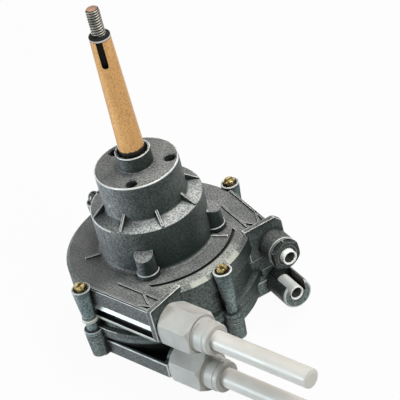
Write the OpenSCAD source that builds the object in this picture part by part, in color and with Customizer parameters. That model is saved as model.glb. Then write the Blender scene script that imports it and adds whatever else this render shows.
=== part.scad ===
// Boat steering helm, dual-cable rotary type with planetary reduction.
// The origin is on the steering shaft's axis, at the hub's mounting face.
// +Z runs up the shaft, and +X runs out between the two cable arms.

/* [Hub] */
// Radius of the upper hub cylinder
hub_r = 31.3; // [29:0.1:36]
// Height of the upper hub cylinder
hub_h = 29; // [26:0.5:40]
// Radius of the pilot boss round the shaft
boss_r = 13; // [12.6:0.1:15]
// Height of the pilot boss above the mounting face
boss_h = 12.3; // [11:0.1:18]
// Depth of a mounting hole's straight part
bolt_hole_depth = 10; // [8:0.5:12]
// Metal left below the drill point of a mounting hole
hole_floor = 2; // [1:0.1:4]
// Side wall of the hub and of the gear case
hub_wall = 4.6; // [3.5:0.1:6]
// Radius of the circle that the mounting holes sit on
bolt_circle_r = 24.7; // [22:0.1:26]
// Radius of a mounting hole
bolt_hole_r = 4.25; // [3:0.05:4.5]
// Angle of the two front mounting holes either side of +X
bolt_angle = 48; // [40:1:60]

/* [Gear case] */
// Radius of the lower, wider hub cylinder
step_r = 42.1; // [41:0.1:46]
// Fall of the sloping step between the two cylinders
step_fall = 3.4; // [1:0.1:6]
// Height from the step down to the disc
step_h = 39; // [37:0.5:50]
// Number of gussets on the step
gusset_count = 8; // [4:1:12]
// Thickness of a gusset or rib
rib_t = 2; // [1:0.1:4]
// Radius of a blind lug on the gear case
lug_r = 7.4; // [5:0.1:9]
// Height of a blind lug above the disc
lug_h = 20; // [12:0.5:26]

/* [Casing] */
// Outer radius of the round casing's front band
case_r = 69.8; // [68:0.1:74]
// Depth of the front band below the disc
band_depth = 16; // [12:0.5:18]
// Distance that the casing's waist lies inside the front band
waist_in = 3.2; // [1.5:0.1:4]
// Thickness of the waist's wall
side_wall = 3.8; // [3:0.1:5]
// Distance that the seam flange stands outside the front band
seam_out = 1.2; // [0.6:0.1:2]
// Thickness of the seam flange
seam_flange_t = 3.5; // [2.5:0.1:5]
// Chamfer on the casing's front edge
case_edge = 3; // [1:0.1:4]
// Thickness of the casing's front wall
case_wall = 5; // [4:0.1:6]
// Depth of the front casting below its disc
front_depth = 39; // [37:0.5:46]
// Distance that the rear cover's wall lies inside the front band
rear_inset = 2.8; // [1:0.1:5]
// Depth of the rear cover
rear_depth = 18; // [17:0.5:24]
// Thickness of the rear cover's walls
rear_wall = 3.2; // [2.5:0.1:4]
// Thickness of the middle plate
plate_t = 3.4; // [2:0.1:5]
// Thickness of a gasket
gasket_t = 0.8; // [0.5:0.1:1.5]
// Height of the raised rib or land on the disc
land_h = 1.8; // [0.8:0.1:3]
// Radius of the groove in the disc between the arms
groove_r = 58; // [54:0.1:62]

/* [Corner screws] */
// Distance that the casing screws stand outside the front band
screw_out = 4.2; // [3:0.1:6]
// Radius of a corner boss at its top
corner_boss_r = 7.2; // [6.8:0.1:9]
// Loss of radius down a corner boss
corner_taper = 2; // [0.5:0.1:2.4]
// Depth of a corner boss's taper below the disc
taper_depth = 23; // [18:0.5:26]
// Radius of the slim column below a corner boss
column_r = 4.4; // [4:0.1:5]
// Thickness of the web between a column and the waist
column_web_t = 4; // [2:0.1:6]
// Radius of a casing screw's shank
screw_r = 2.5; // [2:0.1:3]
// Width of a casing screw's hexagon head across its flats
screw_head_af = 8; // [7:0.1:9.5]
// Height of a casing screw's head
screw_head_h = 4.4; // [3:0.1:6]
// Height of the domed head on the back casing screw
back_head_h = 9.4; // [6:0.1:12]

/* [Cable arms] */
// Angle that the spent-tube arm leans towards +X
tube_tilt = 7.5; // [4:0.5:12]
// Angle that the inlet arm leans towards +X
inlet_tilt = 11; // [6:0.5:14]
// Distance that an arm's outer wall lies inside the front band
arm_inset = 0.5; // [0.3:0.1:2]
// Depth of an arm
arm_depth = 27; // [25:0.5:32]
// Wall of an arm
arm_wall = 5.2; // [4.5:0.1:6]
// Thickness of an arm's end flange
flange_t = 4.6; // [3:0.1:6]
// Cut-off corner of the inlet arm's flange
flange_corner = 5; // [1:0.1:8]
// Depth of the sloping strip in the spent-tube arm's wall below the disc
strip_depth = 13.6; // [10:0.1:15]
// Distance that the strips are let into the spent-tube arm's wall
strip_in = 3.2; // [1:0.1:3.4]
// Height of the lower, straight strip
strip_h = 5.8; // [3:0.1:6.5]
// Distance from an arm's outer wall to the long rib on the spent-tube arm
tube_rib_in = 16.3; // [12:0.1:20]
// Distance from an arm's outer wall to the long rib on the inlet arm
inlet_rib_in = 14.3; // [10:0.1:20]
// Length of the long rib on an arm
arm_rib_l = 33; // [20:0.5:40]
// Distance along the spent-tube arm to its end face
tube_arm_l = 57; // [54:0.5:75]
// Distance along the inlet arm to its end face
inlet_arm_l = 48; // [45:0.5:65]
// Distance from an arm's outer wall in to the spent tubes' axes
tube_in = 15.6; // [13.5:0.1:20]
// Distance from an arm's outer wall in to the inlets' axes
inlet_in = 1.3; // [0:0.1:6]
// Length of a cable passage behind an arm's end face
passage_l = 20; // [10:0.5:24]
// Depth of the upper cable layer below the disc
layer_depth = 18.7; // [18:0.1:22]
// Distance between the two cable layers
layer_gap = 35.5; // [34.5:0.1:36]
// Radius of the passage for a cable core
cable_r = 4.6; // [3:0.1:5]

/* [Spent tubes] */
// Outer radius of a spent tube
tube_r = 7.3; // [6.5:0.1:8]
// Wall of a spent tube
tube_wall = 1.6; // [1:0.1:2.5]
// Length of a spent tube past its arm's end face
tube_l = 128; // [120:1:300]
// Width of a tube nut across its flats
nut_af = 29.6; // [27:0.1:34]
// Length of a tube nut's hexagon
nut_l = 33; // [25:0.5:40]
// Radius of a tube nut's collar
nut_collar_r = 12.2; // [10:0.1:13.5]
// Length of a tube nut's collar
nut_collar_l = 14; // [8:0.5:20]
// Radius of the spigot that a tube nut screws onto
spigot_r = 10; // [9.5:0.1:11.5]
// Length of the spigot
spigot_l = 20; // [12:0.5:24]

/* [Cable inlets] */
// Radius of an inlet boss
inlet_boss_r = 11.8; // [10:0.1:13]
// Length of an inlet boss
inlet_boss_l = 15; // [12:0.5:22]
// Radius of the inlet ring nut
inlet_ring_r = 11.2; // [9.5:0.1:12]
// Length of the inlet ring nut
inlet_ring_l = 6; // [4:0.5:10]
// Outer radius of an inlet nipple
nipple_r = 5.6; // [5:0.1:6.5]
// Bore radius of an inlet nipple
nipple_bore_r = 3.6; // [2.5:0.1:4]
// Length of a nipple past the ring nut or the cradle
nipple_out = 4; // [2:0.5:10]

/* [Steering shaft] */
// Diameter of the shaft where it runs in its bushes
shaft_d = 19.05; // [18:0.05:20]
// Diameter of the taper's small end
taper_d = 15.4; // [14:0.1:17]
// Height of the taper's small end above the mounting face
taper_top = 111.3; // [90:0.1:130]
// Height of the straight part above the mounting face
taper_start = 14; // [12.5:0.1:30]
// Diameter of the threaded end
thread_d = 10; // [8:0.1:12.7]
// Length of the threaded end
thread_l = 20.4; // [12:0.1:26]
// Height of the plain band at the top of the taper
band_h = 3.4; // [2:0.1:6]
// Width of the keyway
key_w = 4.8; // [3:0.1:6]
// Depth of the keyway
key_depth = 2.4; // [1.5:0.1:3]
// Length of the keyway
key_l = 21; // [12:0.5:30]
// Angle of the keyway about the shaft
key_angle = -45; // [-180:1:180]
// Wall of the shaft's bushes
bush_wall = 1.9; // [1.2:0.05:2.5]
// Length of a shaft bush
bush_l = 12; // [8:0.5:13]
// Height of the lip seal
seal_h = 5; // [3:0.1:6]

/* [Gears] */
// Gear module
gear_m = 1.4; // [1.3:0.01:1.42]
// Teeth on the sun gear
sun_teeth = 12; // [12:1:12]
// Teeth on each planet gear
planet_teeth = 18; // [18:1:18]
// Face width of the gears
gear_w = 14; // [10:0.5:15]
// Radius of a planet pin
planet_pin_r = 4; // [3:0.1:5]
// Radius of the shaft's journal in the sun gear
journal_r = 4.5; // [3.5:0.1:5]
// Thickness of the planet carrier's plate
carrier_t = 7; // [5:0.5:8]

/* [Cable wheels] */
// Distance between a cable wheel's teeth and the waist's inner wall
wheel_space = 5.5; // [4.5:0.1:8]
// Thickness of a cable wheel
wheel_t = 8; // [6:0.1:8.5]
// Teeth on a cable wheel
wheel_teeth = 60; // [40:1:72]
// Radius of the carrier's hub inside the wheels
wheel_hub_r = 18; // [16:0.1:20]
// Radius of the wheel clamp screws
clamp_screw_r = 3; // [2:0.1:3.5]
// Radius of the circle of the wheel clamp screws
clamp_circle_r = 26; // [25:0.1:29]
// Radius of the carrier's rear spigot
rear_spigot_r = 11; // [9:0.1:12]
// Length of the rear bush
rear_bush_l = 9; // [6:0.5:12]

/* [Clearances] */
// Radial clearance of a running fit
run_gap = 0.05; // [0.02:0.01:0.08]
// Clearance between faces that turn past each other
face_gap = 0.4; // [0.2:0.05:0.6]
// Clearance of a screw or a tube in its hole
slip_gap = 0.15; // [0.1:0.05:0.3]

/* [Hidden] */
$fn = 96;
step_z = -hub_h;
rim_z = step_z - step_fall;
disc_z = step_z - step_h;
seam_z = disc_z - front_depth;
plate_z = seam_z - gasket_t - plate_t;
cover_z = plate_z - gasket_t;
floor_z = cover_z - rear_depth;
upper_layer_z = disc_z - layer_depth;
lower_layer_z = upper_layer_z - layer_gap;
shaft_r = shaft_d / 2;
bush_or = shaft_r + run_gap + bush_wall;
drill_tip_r = 1;
drill_point_h = 0.6 * (bolt_hole_r - drill_tip_r);
hub_top_wall = bolt_hole_depth + drill_point_h + hole_floor;
case_bore_r = step_r - hub_wall;
waist_r = case_r - waist_in;
cavity_r = waist_r - side_wall;
seam_r = case_r + seam_out;
sheet_r = seam_r - 0.6;
rear_r = case_r - rear_inset;
screw_circle_r = case_r + screw_out;
arm_outer = case_r - arm_inset;
tube_offset = arm_outer - tube_in;
inlet_offset = arm_outer - inlet_in;
tube_rib_offset = arm_outer - tube_rib_in;
inlet_rib_offset = arm_outer - inlet_rib_in;
wheel_r = cavity_r - wheel_space;
rim_in = case_r - 2;
tube_flange_inner = sqrt(max(1, rim_in * rim_in - tube_arm_l * tube_arm_l));
inlet_flange_inner = sqrt(max(1, rim_in * rim_in - inlet_arm_l * inlet_arm_l));
nut_side = tube_offset - nut_af / 2;
nut_x = max(tube_arm_l, sqrt(max(1, seam_r * seam_r - nut_side * nut_side))) + face_gap;
spacer_r = clamp_circle_r + 1.5 * clamp_screw_r;
rear_cavity_r = rear_r - rear_wall;
ring_teeth = sun_teeth + 2 * planet_teeth;
sun_pitch_r = gear_m * sun_teeth / 2;
planet_pitch_r = gear_m * planet_teeth / 2;
ring_pitch_r = gear_m * ring_teeth / 2;
planet_orbit_r = sun_pitch_r + planet_pitch_r;
planet_count = 3;
pressure = 25;
addendum = 0.85 * gear_m;
dedendum = 1.1 * gear_m;
backlash = 0.3;
washer_t = 1;
thrust_t = 4;
lower_bush_top = step_z - 3;
lower_bush_z = lower_bush_top - bush_l;
tube_housing_r = bush_or + 3.6;
washer_z = lower_bush_z - washer_t;
thrust_top = washer_z - run_gap;
thrust_z = thrust_top - thrust_t;
thrust_r = bush_or + 1.2;
gear_top = thrust_z - face_gap;
gear_z = gear_top - gear_w;
carrier_top = gear_z - face_gap;
carrier_z = carrier_top - carrier_t;
carrier_r = case_bore_r - 1;
pin_head_t = 1.2;
pin_ring_z = gear_top + face_gap / 2;
upper_wheel_z = upper_layer_z - wheel_t / 2;
lower_wheel_z = lower_layer_z - wheel_t / 2;
cover_floor = floor_z + rear_wall;
hub_end_z = cover_floor + face_gap;
rear_boss_r = rear_spigot_r + run_gap + bush_wall + 5;
rear_boss_z = floor_z - rear_bush_l;
seal_top = boss_h - 4;
seal_z = seal_top - seal_h;
upper_bush_top = seal_z - 2.4;
upper_bush_z = upper_bush_top - bush_l;
clip_z = upper_bush_top + run_gap;
clip_t = 1.4;
clip_groove = 1.1;
corner_top = disc_z + land_h;
corner_cone_z = disc_z - taper_depth;
arm_root_x = -8;
arm_hollow_x = 10;
arm_root_y = step_r + 4;
arm_top = disc_z + 0.4;
lip_top = disc_z + land_h - 0.2;
counterbore_r = screw_head_af / sqrt(3) + 1;
counterbore_h = 1.4;
head_z = corner_top - counterbore_h;
corner_web_w = 1.6 * corner_boss_r;
clamp_head_r = clamp_screw_r + 2;
clamp_head_h = 3;
clamp_angles = [60, 180, 300];
port_ring_x = inlet_arm_l + inlet_boss_l;
ring_end_x = port_ring_x + inlet_ring_l;
nipple_end_x = ring_end_x + nipple_out;
nipple_seat_x = port_ring_x - 12;
cradle_end_x = ring_end_x + 2;
spigot_end_x = tube_arm_l + spigot_l;
cradle_slot_w = 2 * nipple_r + 3;
cap_l = 9;
lug_angles = [-bolt_angle, bolt_angle, 180];
corner_angles = [0, 90, 180, 270];
disc_rib_angles = [-118, 33, 118];
inlet_flange_outer = inlet_offset + inlet_boss_r - 0.4;
casting_grey = "#5d6668";
cover_grey = "#596163";
zinc_gold = "#d2a55f";
brass_yellow = "#c9ab56";
milky_white = "#dcdcd2";
bronze = "#a87b45";
steel = "#8f949a";
black_rubber = "#202224";

// Straight solid round bar along Z between two heights
module rod(r, z_low, z_high) {
    translate([0, 0, z_low])
        cylinder(r = r, h = z_high - z_low);
}

// Ring along Z between two heights
module ring(r_out, r_in, z_low, z_high) {
    difference() {
        rod(r_out, z_low, z_high);
        rod(r_in, z_low - 1, z_high + 1);
    }
}

// Places children once at each angle in a list, on a circle
module round_about(angles, r) {
    for (a = angles)
        rotate([0, 0, a])
            translate([r, 0, 0])
                children();
}

// Local frame of the inlet arm: x runs along the arm, y outwards from the axis
module inlet_side() {
    rotate([0, 0, -inlet_tilt])
        children();
}

// Local frame of the spent-tube arm, the mirror of the inlet arm's
module tube_side() {
    mirror([0, 1, 0])
        rotate([0, 0, -tube_tilt])
            children();
}

// Round bar along an arm's local x axis
module along_bar(r, x_low, x_high, y, z) {
    translate([x_low, y, z])
        rotate([0, 90, 0])
            cylinder(r = r, h = x_high - x_low);
}

// Box between two corners
module block(low, high) {
    translate(low)
        cube(high - low);
}

// Involute angle in degrees
function involute(a) = tan(a) * 180 / PI - a;

// Half the angle that a tooth takes up at a radius
function tooth_half(teeth, thick, r) =
    let (pitch_r = gear_m * teeth / 2)
    let (base_r = pitch_r * cos(pressure))
    let (a = acos(min(1, base_r / max(r, base_r))))
    thick / 2 / pitch_r * 180 / PI + involute(pressure) - involute(a);

// Outline of a gear, with the flanks in short straight steps
function gear_outline(teeth, root_r, tip_r, thick, steps = 3) = [
    for (i = [0 : teeth - 1])
        for (side = [-1, 1])
            for (k = [0 : steps])
                let (f = side < 0 ? k / steps : 1 - k / steps)
                let (r = root_r + (tip_r - root_r) * f)
                let (a = i * 360 / teeth + side * tooth_half(teeth, thick, r))
                [r * cos(a), r * sin(a)]
];

tooth_thick = PI * gear_m / 2 - backlash;
tooth_space = PI * gear_m / 2 + backlash;

// Solid gear along Z
module spur_gear(teeth, z_low, width) {
    pitch_r = gear_m * teeth / 2;
    translate([0, 0, z_low])
        linear_extrude(height = width)
            polygon(gear_outline(teeth, pitch_r - dedendum, pitch_r + addendum, tooth_thick));
}

// Outer body of the hub, the step, the disc and the round casing
module casting_body() {
    rotate_extrude()
        polygon([
            [0, seam_z],
            [seam_r, seam_z],
            [seam_r, seam_z + seam_flange_t],
            [waist_r, seam_z + seam_flange_t + 1],
            [waist_r, disc_z - band_depth - 2],
            [case_r, disc_z - band_depth],
            [case_r, disc_z - case_edge],
            [case_r - case_edge, disc_z],
            [step_r, disc_z],
            [step_r, rim_z],
            [hub_r, step_z],
            [hub_r, 0],
            [boss_r, 0],
            [boss_r, boss_h - 0.6],
            [boss_r - 0.6, boss_h],
            [0, boss_h]
        ]);
}

// Hollow of the hub, the gear case and the upper cable layer
module casting_hollow() {
    hub_core_r = hub_r - hub_wall;
    rotate_extrude()
        polygon([
            [tube_housing_r, -hub_top_wall],
            [hub_core_r, -hub_top_wall],
            [hub_core_r, rim_z - hub_wall],
            [case_bore_r, rim_z - hub_wall],
            [case_bore_r, disc_z - case_wall],
            [cavity_r, disc_z - case_wall],
            [cavity_r, seam_z - 1],
            [0, seam_z - 1],
            [0, lower_bush_z],
            [tube_housing_r, lower_bush_z]
        ]);
}

// Triangular gussets on the sloping step
module step_gussets() {
    for (i = [0 : gusset_count - 1])
        rotate([0, 0, (i + 0.5) * 360 / gusset_count])
            translate([0, rib_t / 2, 0])
                rotate([90, 0, 0])
                    linear_extrude(height = rib_t)
                        polygon([
                            [hub_r - 1, rim_z - 0.5],
                            [step_r - 0.5, rim_z - 0.5],
                            [step_r - 0.5, rim_z + 1],
                            [hub_r - 1, step_z + 7]
                        ]);
}

// Three blind lugs against the gear case, each on a low pad
module case_lugs() {
    round_about(lug_angles, step_r + 1.6) {
        rod(lug_r, disc_z - 1, disc_z + lug_h);
        rod(lug_r + 1, disc_z - 1, disc_z + 4);
    }
}

// Radial ribs on the disc
module disc_ribs() {
    for (a = disc_rib_angles)
        rotate([0, 0, a])
            block([step_r - 1, -rib_t / 2, disc_z - 1], [groove_r - 2.5, rib_t / 2, disc_z + land_h - 0.4]);
}

// Groove in the disc on the side between the arms
module disc_groove() {
    rotate([0, 0, -bolt_angle])
        rotate_extrude(angle = 2 * bolt_angle)
            translate([groove_r - 0.9, disc_z - 1.2])
                square([1.8, 3]);
}

// Outline in an arm's cross section, drawn along the arm from one place to another
module along_outline(x_low, x_high, points) {
    translate([x_low, 0, 0])
        rotate([90, 0, 90])
            linear_extrude(height = x_high - x_low)
                polygon(points);
}

// One arm of the front casting as a block with its end flange
module arm_block(length, flange_inner, flange_outer, corner) {
    low_z = disc_z - arm_depth;
    block([arm_root_x, arm_root_y, low_z], [length - 0.6, arm_outer, arm_top]);
    along_outline(length - flange_t, length, [
        [flange_inner, low_z + 0.5],
        [flange_outer, low_z + 0.5],
        [flange_outer, lip_top - corner],
        [flange_outer - corner, lip_top],
        [flange_inner, lip_top]
    ]);
}

// Skirt below the inlet arm, down to the seam
module inlet_skirt() {
    block(
        [arm_hollow_x, arm_root_y, seam_z + 0.5],
        [inlet_arm_l - 1.2, arm_outer - 1, disc_z - arm_depth + 1]
    );
}

// Corner boss of the front casting: a tapered cup on a slim column, with an ear and a web
module corner_boss() {
    translate([0, 0, corner_cone_z])
        cylinder(r1 = corner_boss_r - corner_taper, r2 = corner_boss_r, h = corner_top - corner_cone_z);
    rod(column_r, seam_z, corner_cone_z + 1);
    rod(corner_boss_r - 0.2, seam_z, seam_z + seam_flange_t - 0.4);
    block(
        [waist_r - screw_circle_r - 1, -column_web_t / 2, seam_z + 1],
        [0, column_web_t / 2, corner_cone_z + 2]
    );
}

// Long rib and outer lip on top of an arm, with the slanting braces by its flange
module arm_ribs(length, rib_offset) {
    block([0, arm_outer - rib_t, disc_z - 1], [length - 1, arm_outer - 0.3, lip_top - 0.2]);
    block([length - arm_rib_l, rib_offset - rib_t, disc_z - 1], [length - 1, rib_offset, lip_top - 0.2]);
    reach = (arm_outer - rib_offset) * 0.62;
    translate([length - 1, rib_offset, 0])
        slant_brace(reach);
    translate([length - 1, arm_outer - 0.6, 0])
        mirror([0, 1, 0])
            slant_brace(reach);
}

// Slanting brace between a rib and the flange
module slant_brace(reach) {
    translate([0, 0, disc_z - 1])
        linear_extrude(height = land_h + 0.6)
            polygon([
                [-reach, -0.5],
                [-reach - rib_t * 1.4, -0.5],
                [-rib_t * 0.7, reach],
                [0, reach]
            ]);
}

// Two strips let into the outer wall of the spent-tube arm: the upper has a sloping floor
module arm_strips() {
    top_z = disc_z - strip_depth;
    slope_z = top_z - 1.2 * strip_in;
    low_z = slope_z - 1.4;
    end_x = tube_arm_l - flange_t - 1;
    along_outline(-1, end_x, [
        [arm_outer - strip_in, top_z - 0.3],
        [arm_outer, slope_z],
        [arm_outer + 2, slope_z],
        [arm_outer + 2, top_z],
        [arm_outer, top_z]
    ]);
    block([0, arm_outer - 0.75 * strip_in, low_z - strip_h], [end_x, arm_outer + 2, low_z]);
}

// Hollow inside an arm, open to the round casing
module arm_hollow(length) {
    block(
        [arm_hollow_x, arm_root_y + arm_wall, disc_z - arm_depth + arm_wall],
        [length - flange_t - 1, arm_outer - arm_wall, disc_z - case_wall - 0.5]
    );
}

module front_casting() {
    color(casting_grey)
        difference() {
            union() {
                difference() {
                    union() {
                        casting_body();
                        inlet_side() {
                            arm_block(inlet_arm_l, inlet_flange_inner, inlet_flange_outer, flange_corner);
                            inlet_skirt();
                        }
                        tube_side()
                            arm_block(tube_arm_l, tube_flange_inner, arm_outer + 0.8, 1.2);
                        inlet_side() arm_ribs(inlet_arm_l, inlet_rib_offset);
                        tube_side() arm_ribs(tube_arm_l, tube_rib_offset);
                        round_about(corner_angles, screw_circle_r)
                            corner_boss();
                    }
                    casting_hollow();
                    inlet_side() arm_hollow(inlet_arm_l);
                    tube_side() arm_hollow(tube_arm_l);
                    tube_side() arm_strips();
                    disc_groove();
                }
                step_gussets();
                intersection() {
                    case_lugs();
                    ring(case_r, step_r - 1, disc_z - 1, disc_z + lug_h + 1);
                }
                disc_ribs();
                inlet_side()
                    along_bar(inlet_boss_r, inlet_arm_l - flange_t, port_ring_x, inlet_offset, upper_layer_z);
                tube_side()
                    along_bar(spigot_r, tube_arm_l - flange_t, spigot_end_x, tube_offset, upper_layer_z);
            }
            rod(bush_or, lower_bush_z - 1, boss_h + 1);
            round_about(lug_angles, bolt_circle_r) {
                rod(bolt_hole_r, -bolt_hole_depth, 1);
                translate([0, 0, -bolt_hole_depth - drill_point_h])
                    cylinder(r1 = drill_tip_r, r2 = bolt_hole_r, h = drill_point_h);
                translate([0, 0, -1])
                    cylinder(r1 = bolt_hole_r, r2 = bolt_hole_r + 1, h = 1);
            }
            round_about(corner_angles, screw_circle_r) {
                rod(screw_r + slip_gap, seam_z - 1, corner_top + 1);
                rod(counterbore_r, head_z, corner_top + 1);
            }
            inlet_side() {
                along_bar(cable_r, inlet_arm_l - passage_l, nipple_seat_x, inlet_offset, upper_layer_z);
                along_bar(nipple_r, nipple_seat_x, port_ring_x + 1, inlet_offset, upper_layer_z);
            }
            tube_side() {
                along_bar(cable_r, tube_arm_l - passage_l, tube_arm_l + 1, tube_offset, upper_layer_z);
                along_bar(tube_r, tube_arm_l, spigot_end_x + 1, tube_offset, upper_layer_z);
            }
        }
}

// Plan of the gaskets and the middle plate, with its four ears
module seam_sheet(z_low, thick, hole_r) {
    difference() {
        union() {
            rod(sheet_r, z_low, z_low + thick);
            round_about(corner_angles, screw_circle_r)
                rod(corner_boss_r - 0.4, z_low, z_low + thick);
        }
        rod(hole_r, z_low - 1, z_low + thick + 1);
        round_about(corner_angles, screw_circle_r)
            rod(screw_r + slip_gap, z_low - 1, z_low + thick + 1);
    }
}

module front_gasket() {
    color(black_rubber)
        seam_sheet(seam_z - gasket_t, gasket_t, cavity_r);
}

module middle_plate() {
    color(cover_grey)
        seam_sheet(plate_z, plate_t, spacer_r + 1.5);
}

module rear_gasket() {
    color(black_rubber)
        seam_sheet(cover_z, gasket_t, rear_cavity_r);
}

// One arm of the rear cover
module rear_arm(length, outer) {
    block([arm_root_x, arm_root_y, floor_z + 0.6], [length, outer, cover_z - 5]);
}

// Corner boss of the rear cover, with the web that joins it to the wall
module rear_corner() {
    translate([0, 0, floor_z + 2])
        cylinder(r1 = corner_boss_r - 1.4, r2 = corner_boss_r - 0.4, h = rear_depth - 2);
    block([-screw_circle_r, -corner_web_w / 2, floor_z + 1], [0, corner_web_w / 2, cover_z]);
}

// Shoulder of the rear cover's inlet arm, raised outside the seam sheets
module rear_inlet_shoulder() {
    difference() {
        block(
            [arm_hollow_x, arm_root_y, cover_z - 6],
            [inlet_arm_l - 3, inlet_offset - 1.5, seam_z - 0.5]
        );
        rod(seam_r + face_gap, cover_z - 1, seam_z);
    }
}

module rear_cover() {
    color(cover_grey)
        difference() {
            union() {
                difference() {
                    union() {
                        rotate_extrude()
                            polygon([
                                [0, floor_z],
                                [rear_r - 4, floor_z],
                                [rear_r, floor_z + 4],
                                [rear_r, cover_z],
                                [0, cover_z]
                            ]);
                        tube_side()
                            rear_arm(tube_arm_l, arm_outer);
                        inlet_side() {
                            rear_arm(inlet_arm_l - 2, inlet_offset);
                            rear_inlet_shoulder();
                        }
                        round_about(corner_angles, screw_circle_r)
                            rear_corner();
                    }
                    rod(rear_cavity_r, cover_floor, cover_z + 1);
                    tube_side()
                        block(
                            [arm_hollow_x, arm_root_y + arm_wall, cover_floor + 0.6],
                            [tube_arm_l - 6, tube_offset + cable_r + 1, cover_z - 8]
                        );
                    inlet_side()
                        block(
                            [arm_hollow_x, arm_root_y + arm_wall, cover_floor + 0.6],
                            [inlet_arm_l - 8, inlet_offset - 4, cover_z - 8]
                        );
                }
                tube_side()
                    along_bar(spigot_r, tube_arm_l - 6, spigot_end_x, tube_offset, lower_layer_z);
                inlet_side()
                    along_bar(inlet_boss_r, inlet_arm_l - 8, cradle_end_x, inlet_offset, lower_layer_z);
                rod(rear_boss_r, rear_boss_z, cover_floor);
            }
            rod(rear_spigot_r + run_gap + bush_wall, rear_boss_z - 1, cover_floor + 1);
            round_about(corner_angles, screw_circle_r)
                rod(screw_r, floor_z + 4, cover_z + 1);
            tube_side() {
                along_bar(cable_r, tube_arm_l - passage_l, tube_arm_l + 1, tube_offset, lower_layer_z);
                along_bar(tube_r, tube_arm_l, spigot_end_x + 1, tube_offset, lower_layer_z);
            }
            inlet_side() {
                along_bar(cable_r, inlet_arm_l - passage_l, inlet_arm_l, inlet_offset, lower_layer_z);
                along_bar(nipple_r, inlet_arm_l - 2, nipple_end_x, inlet_offset, lower_layer_z);
                block(
                    [inlet_arm_l + 2, inlet_offset - cradle_slot_w / 2, lower_layer_z],
                    [nipple_end_x, inlet_offset + cradle_slot_w / 2, lower_layer_z + 2 * inlet_boss_r]
                );
            }
        }
}

module ring_gear() {
    color(steel)
        difference() {
            rod(case_bore_r, gear_z, gear_top);
            rotate([0, 0, 180 / ring_teeth])
                translate([0, 0, gear_z - 1])
                    linear_extrude(height = gear_w + 2)
                        polygon(gear_outline(
                            ring_teeth, ring_pitch_r - addendum, ring_pitch_r + dedendum, tooth_space
                        ));
        }
}

module upper_bush() {
    color(bronze)
        ring(bush_or, shaft_r + run_gap, upper_bush_z, upper_bush_top);
}

module lower_bush() {
    color(bronze)
        ring(bush_or, shaft_r + run_gap, lower_bush_z, lower_bush_top);
}

module thrust_washer() {
    color(bronze)
        ring(thrust_r + 1, shaft_r + run_gap, washer_z, lower_bush_z);
}

module shaft_seal() {
    color(black_rubber)
        difference() {
            rod(bush_or, seal_z, seal_top);
            rod(shaft_r + run_gap, seal_z - 1, seal_top + 1);
            translate([0, 0, seal_top - 2])
                cylinder(r1 = shaft_r + run_gap, r2 = shaft_r + run_gap + 1, h = 2.01);
        }
}

module rear_bush() {
    color(bronze)
        ring(
            rear_spigot_r + run_gap + bush_wall, rear_spigot_r + run_gap,
            rear_boss_z, rear_boss_z + rear_bush_l + rear_wall
        );
}

// One casing screw standing on its seat, with its head drawn by the child
module casing_screw(head_h) {
    difference() {
        union() {
            rod(screw_r, floor_z + 5, head_z + 1);
            children();
        }
        block([-screw_head_af, -0.7, head_z + head_h - 1.4], [screw_head_af, 0.7, head_z + head_h + 1]);
    }
}

// Three hexagon screws, and the back screw with its tall domed head
module casing_screws() {
    corner_r = screw_head_af / sqrt(3);
    color(brass_yellow) {
        round_about([0, 90, 270], screw_circle_r)
            rotate([0, 0, 30])
                casing_screw(screw_head_h)
                    translate([0, 0, head_z])
                        cylinder(r = corner_r, h = screw_head_h, $fn = 6);
        round_about([180], screw_circle_r)
            casing_screw(back_head_h)
                rotate_extrude()
                    polygon([
                        [0, head_z],
                        [corner_r, head_z],
                        [corner_r, head_z + back_head_h - 3.4],
                        [corner_r - 1, head_z + back_head_h - 1.2],
                        [corner_r - 2.4, head_z + back_head_h],
                        [0, head_z + back_head_h]
                    ]);
    }
}

// Tube nut on the local arm axis
module tube_nut(z) {
    end_x = tube_arm_l + nut_l;
    difference() {
        union() {
            translate([nut_x, tube_offset, z])
                rotate([0, 90, 0])
                    cylinder(r = nut_af / sqrt(3), h = end_x - nut_x, $fn = 6);
            along_bar(nut_collar_r, end_x - 1, end_x + nut_collar_l, tube_offset, z);
        }
        along_bar(spigot_r, tube_arm_l - 1, spigot_end_x + 1, tube_offset, z);
        along_bar(tube_r, tube_arm_l, end_x + nut_collar_l + 1, tube_offset, z);
    }
}

module upper_tube_nut() {
    color(milky_white)
        tube_side() tube_nut(upper_layer_z);
}

module lower_tube_nut() {
    color(milky_white)
        tube_side() tube_nut(lower_layer_z);
}

// Straight spent tube, seated in its spigot
module spent_tube(z) {
    difference() {
        along_bar(tube_r, tube_arm_l + slip_gap, tube_arm_l + tube_l, tube_offset, z);
        along_bar(tube_r - tube_wall, tube_arm_l - 1, tube_arm_l + tube_l + 1, tube_offset, z);
    }
}

module upper_spent_tube() {
    color(milky_white)
        tube_side() spent_tube(upper_layer_z);
}

module lower_spent_tube() {
    color(milky_white)
        tube_side() spent_tube(lower_layer_z);
}

// Plug in the far end of a spent tube
module tube_end_cap(z) {
    end_x = tube_arm_l + tube_l;
    along_bar(tube_r - tube_wall, end_x - cap_l, end_x, tube_offset, z);
    along_bar(tube_r, end_x, end_x + 2, tube_offset, z);
}

module tube_end_caps() {
    color(milky_white)
        tube_side() {
            tube_end_cap(upper_layer_z);
            tube_end_cap(lower_layer_z);
        }
}

module inlet_ring_nut() {
    color(steel)
        inlet_side()
            difference() {
                union() {
                    along_bar(inlet_ring_r - 1, port_ring_x, ring_end_x, inlet_offset, upper_layer_z);
                    along_bar(inlet_ring_r, ring_end_x - 4, ring_end_x - 1, inlet_offset, upper_layer_z);
                }
                along_bar(nipple_r, port_ring_x - 1, ring_end_x + 1, inlet_offset, upper_layer_z);
            }
}

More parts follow.
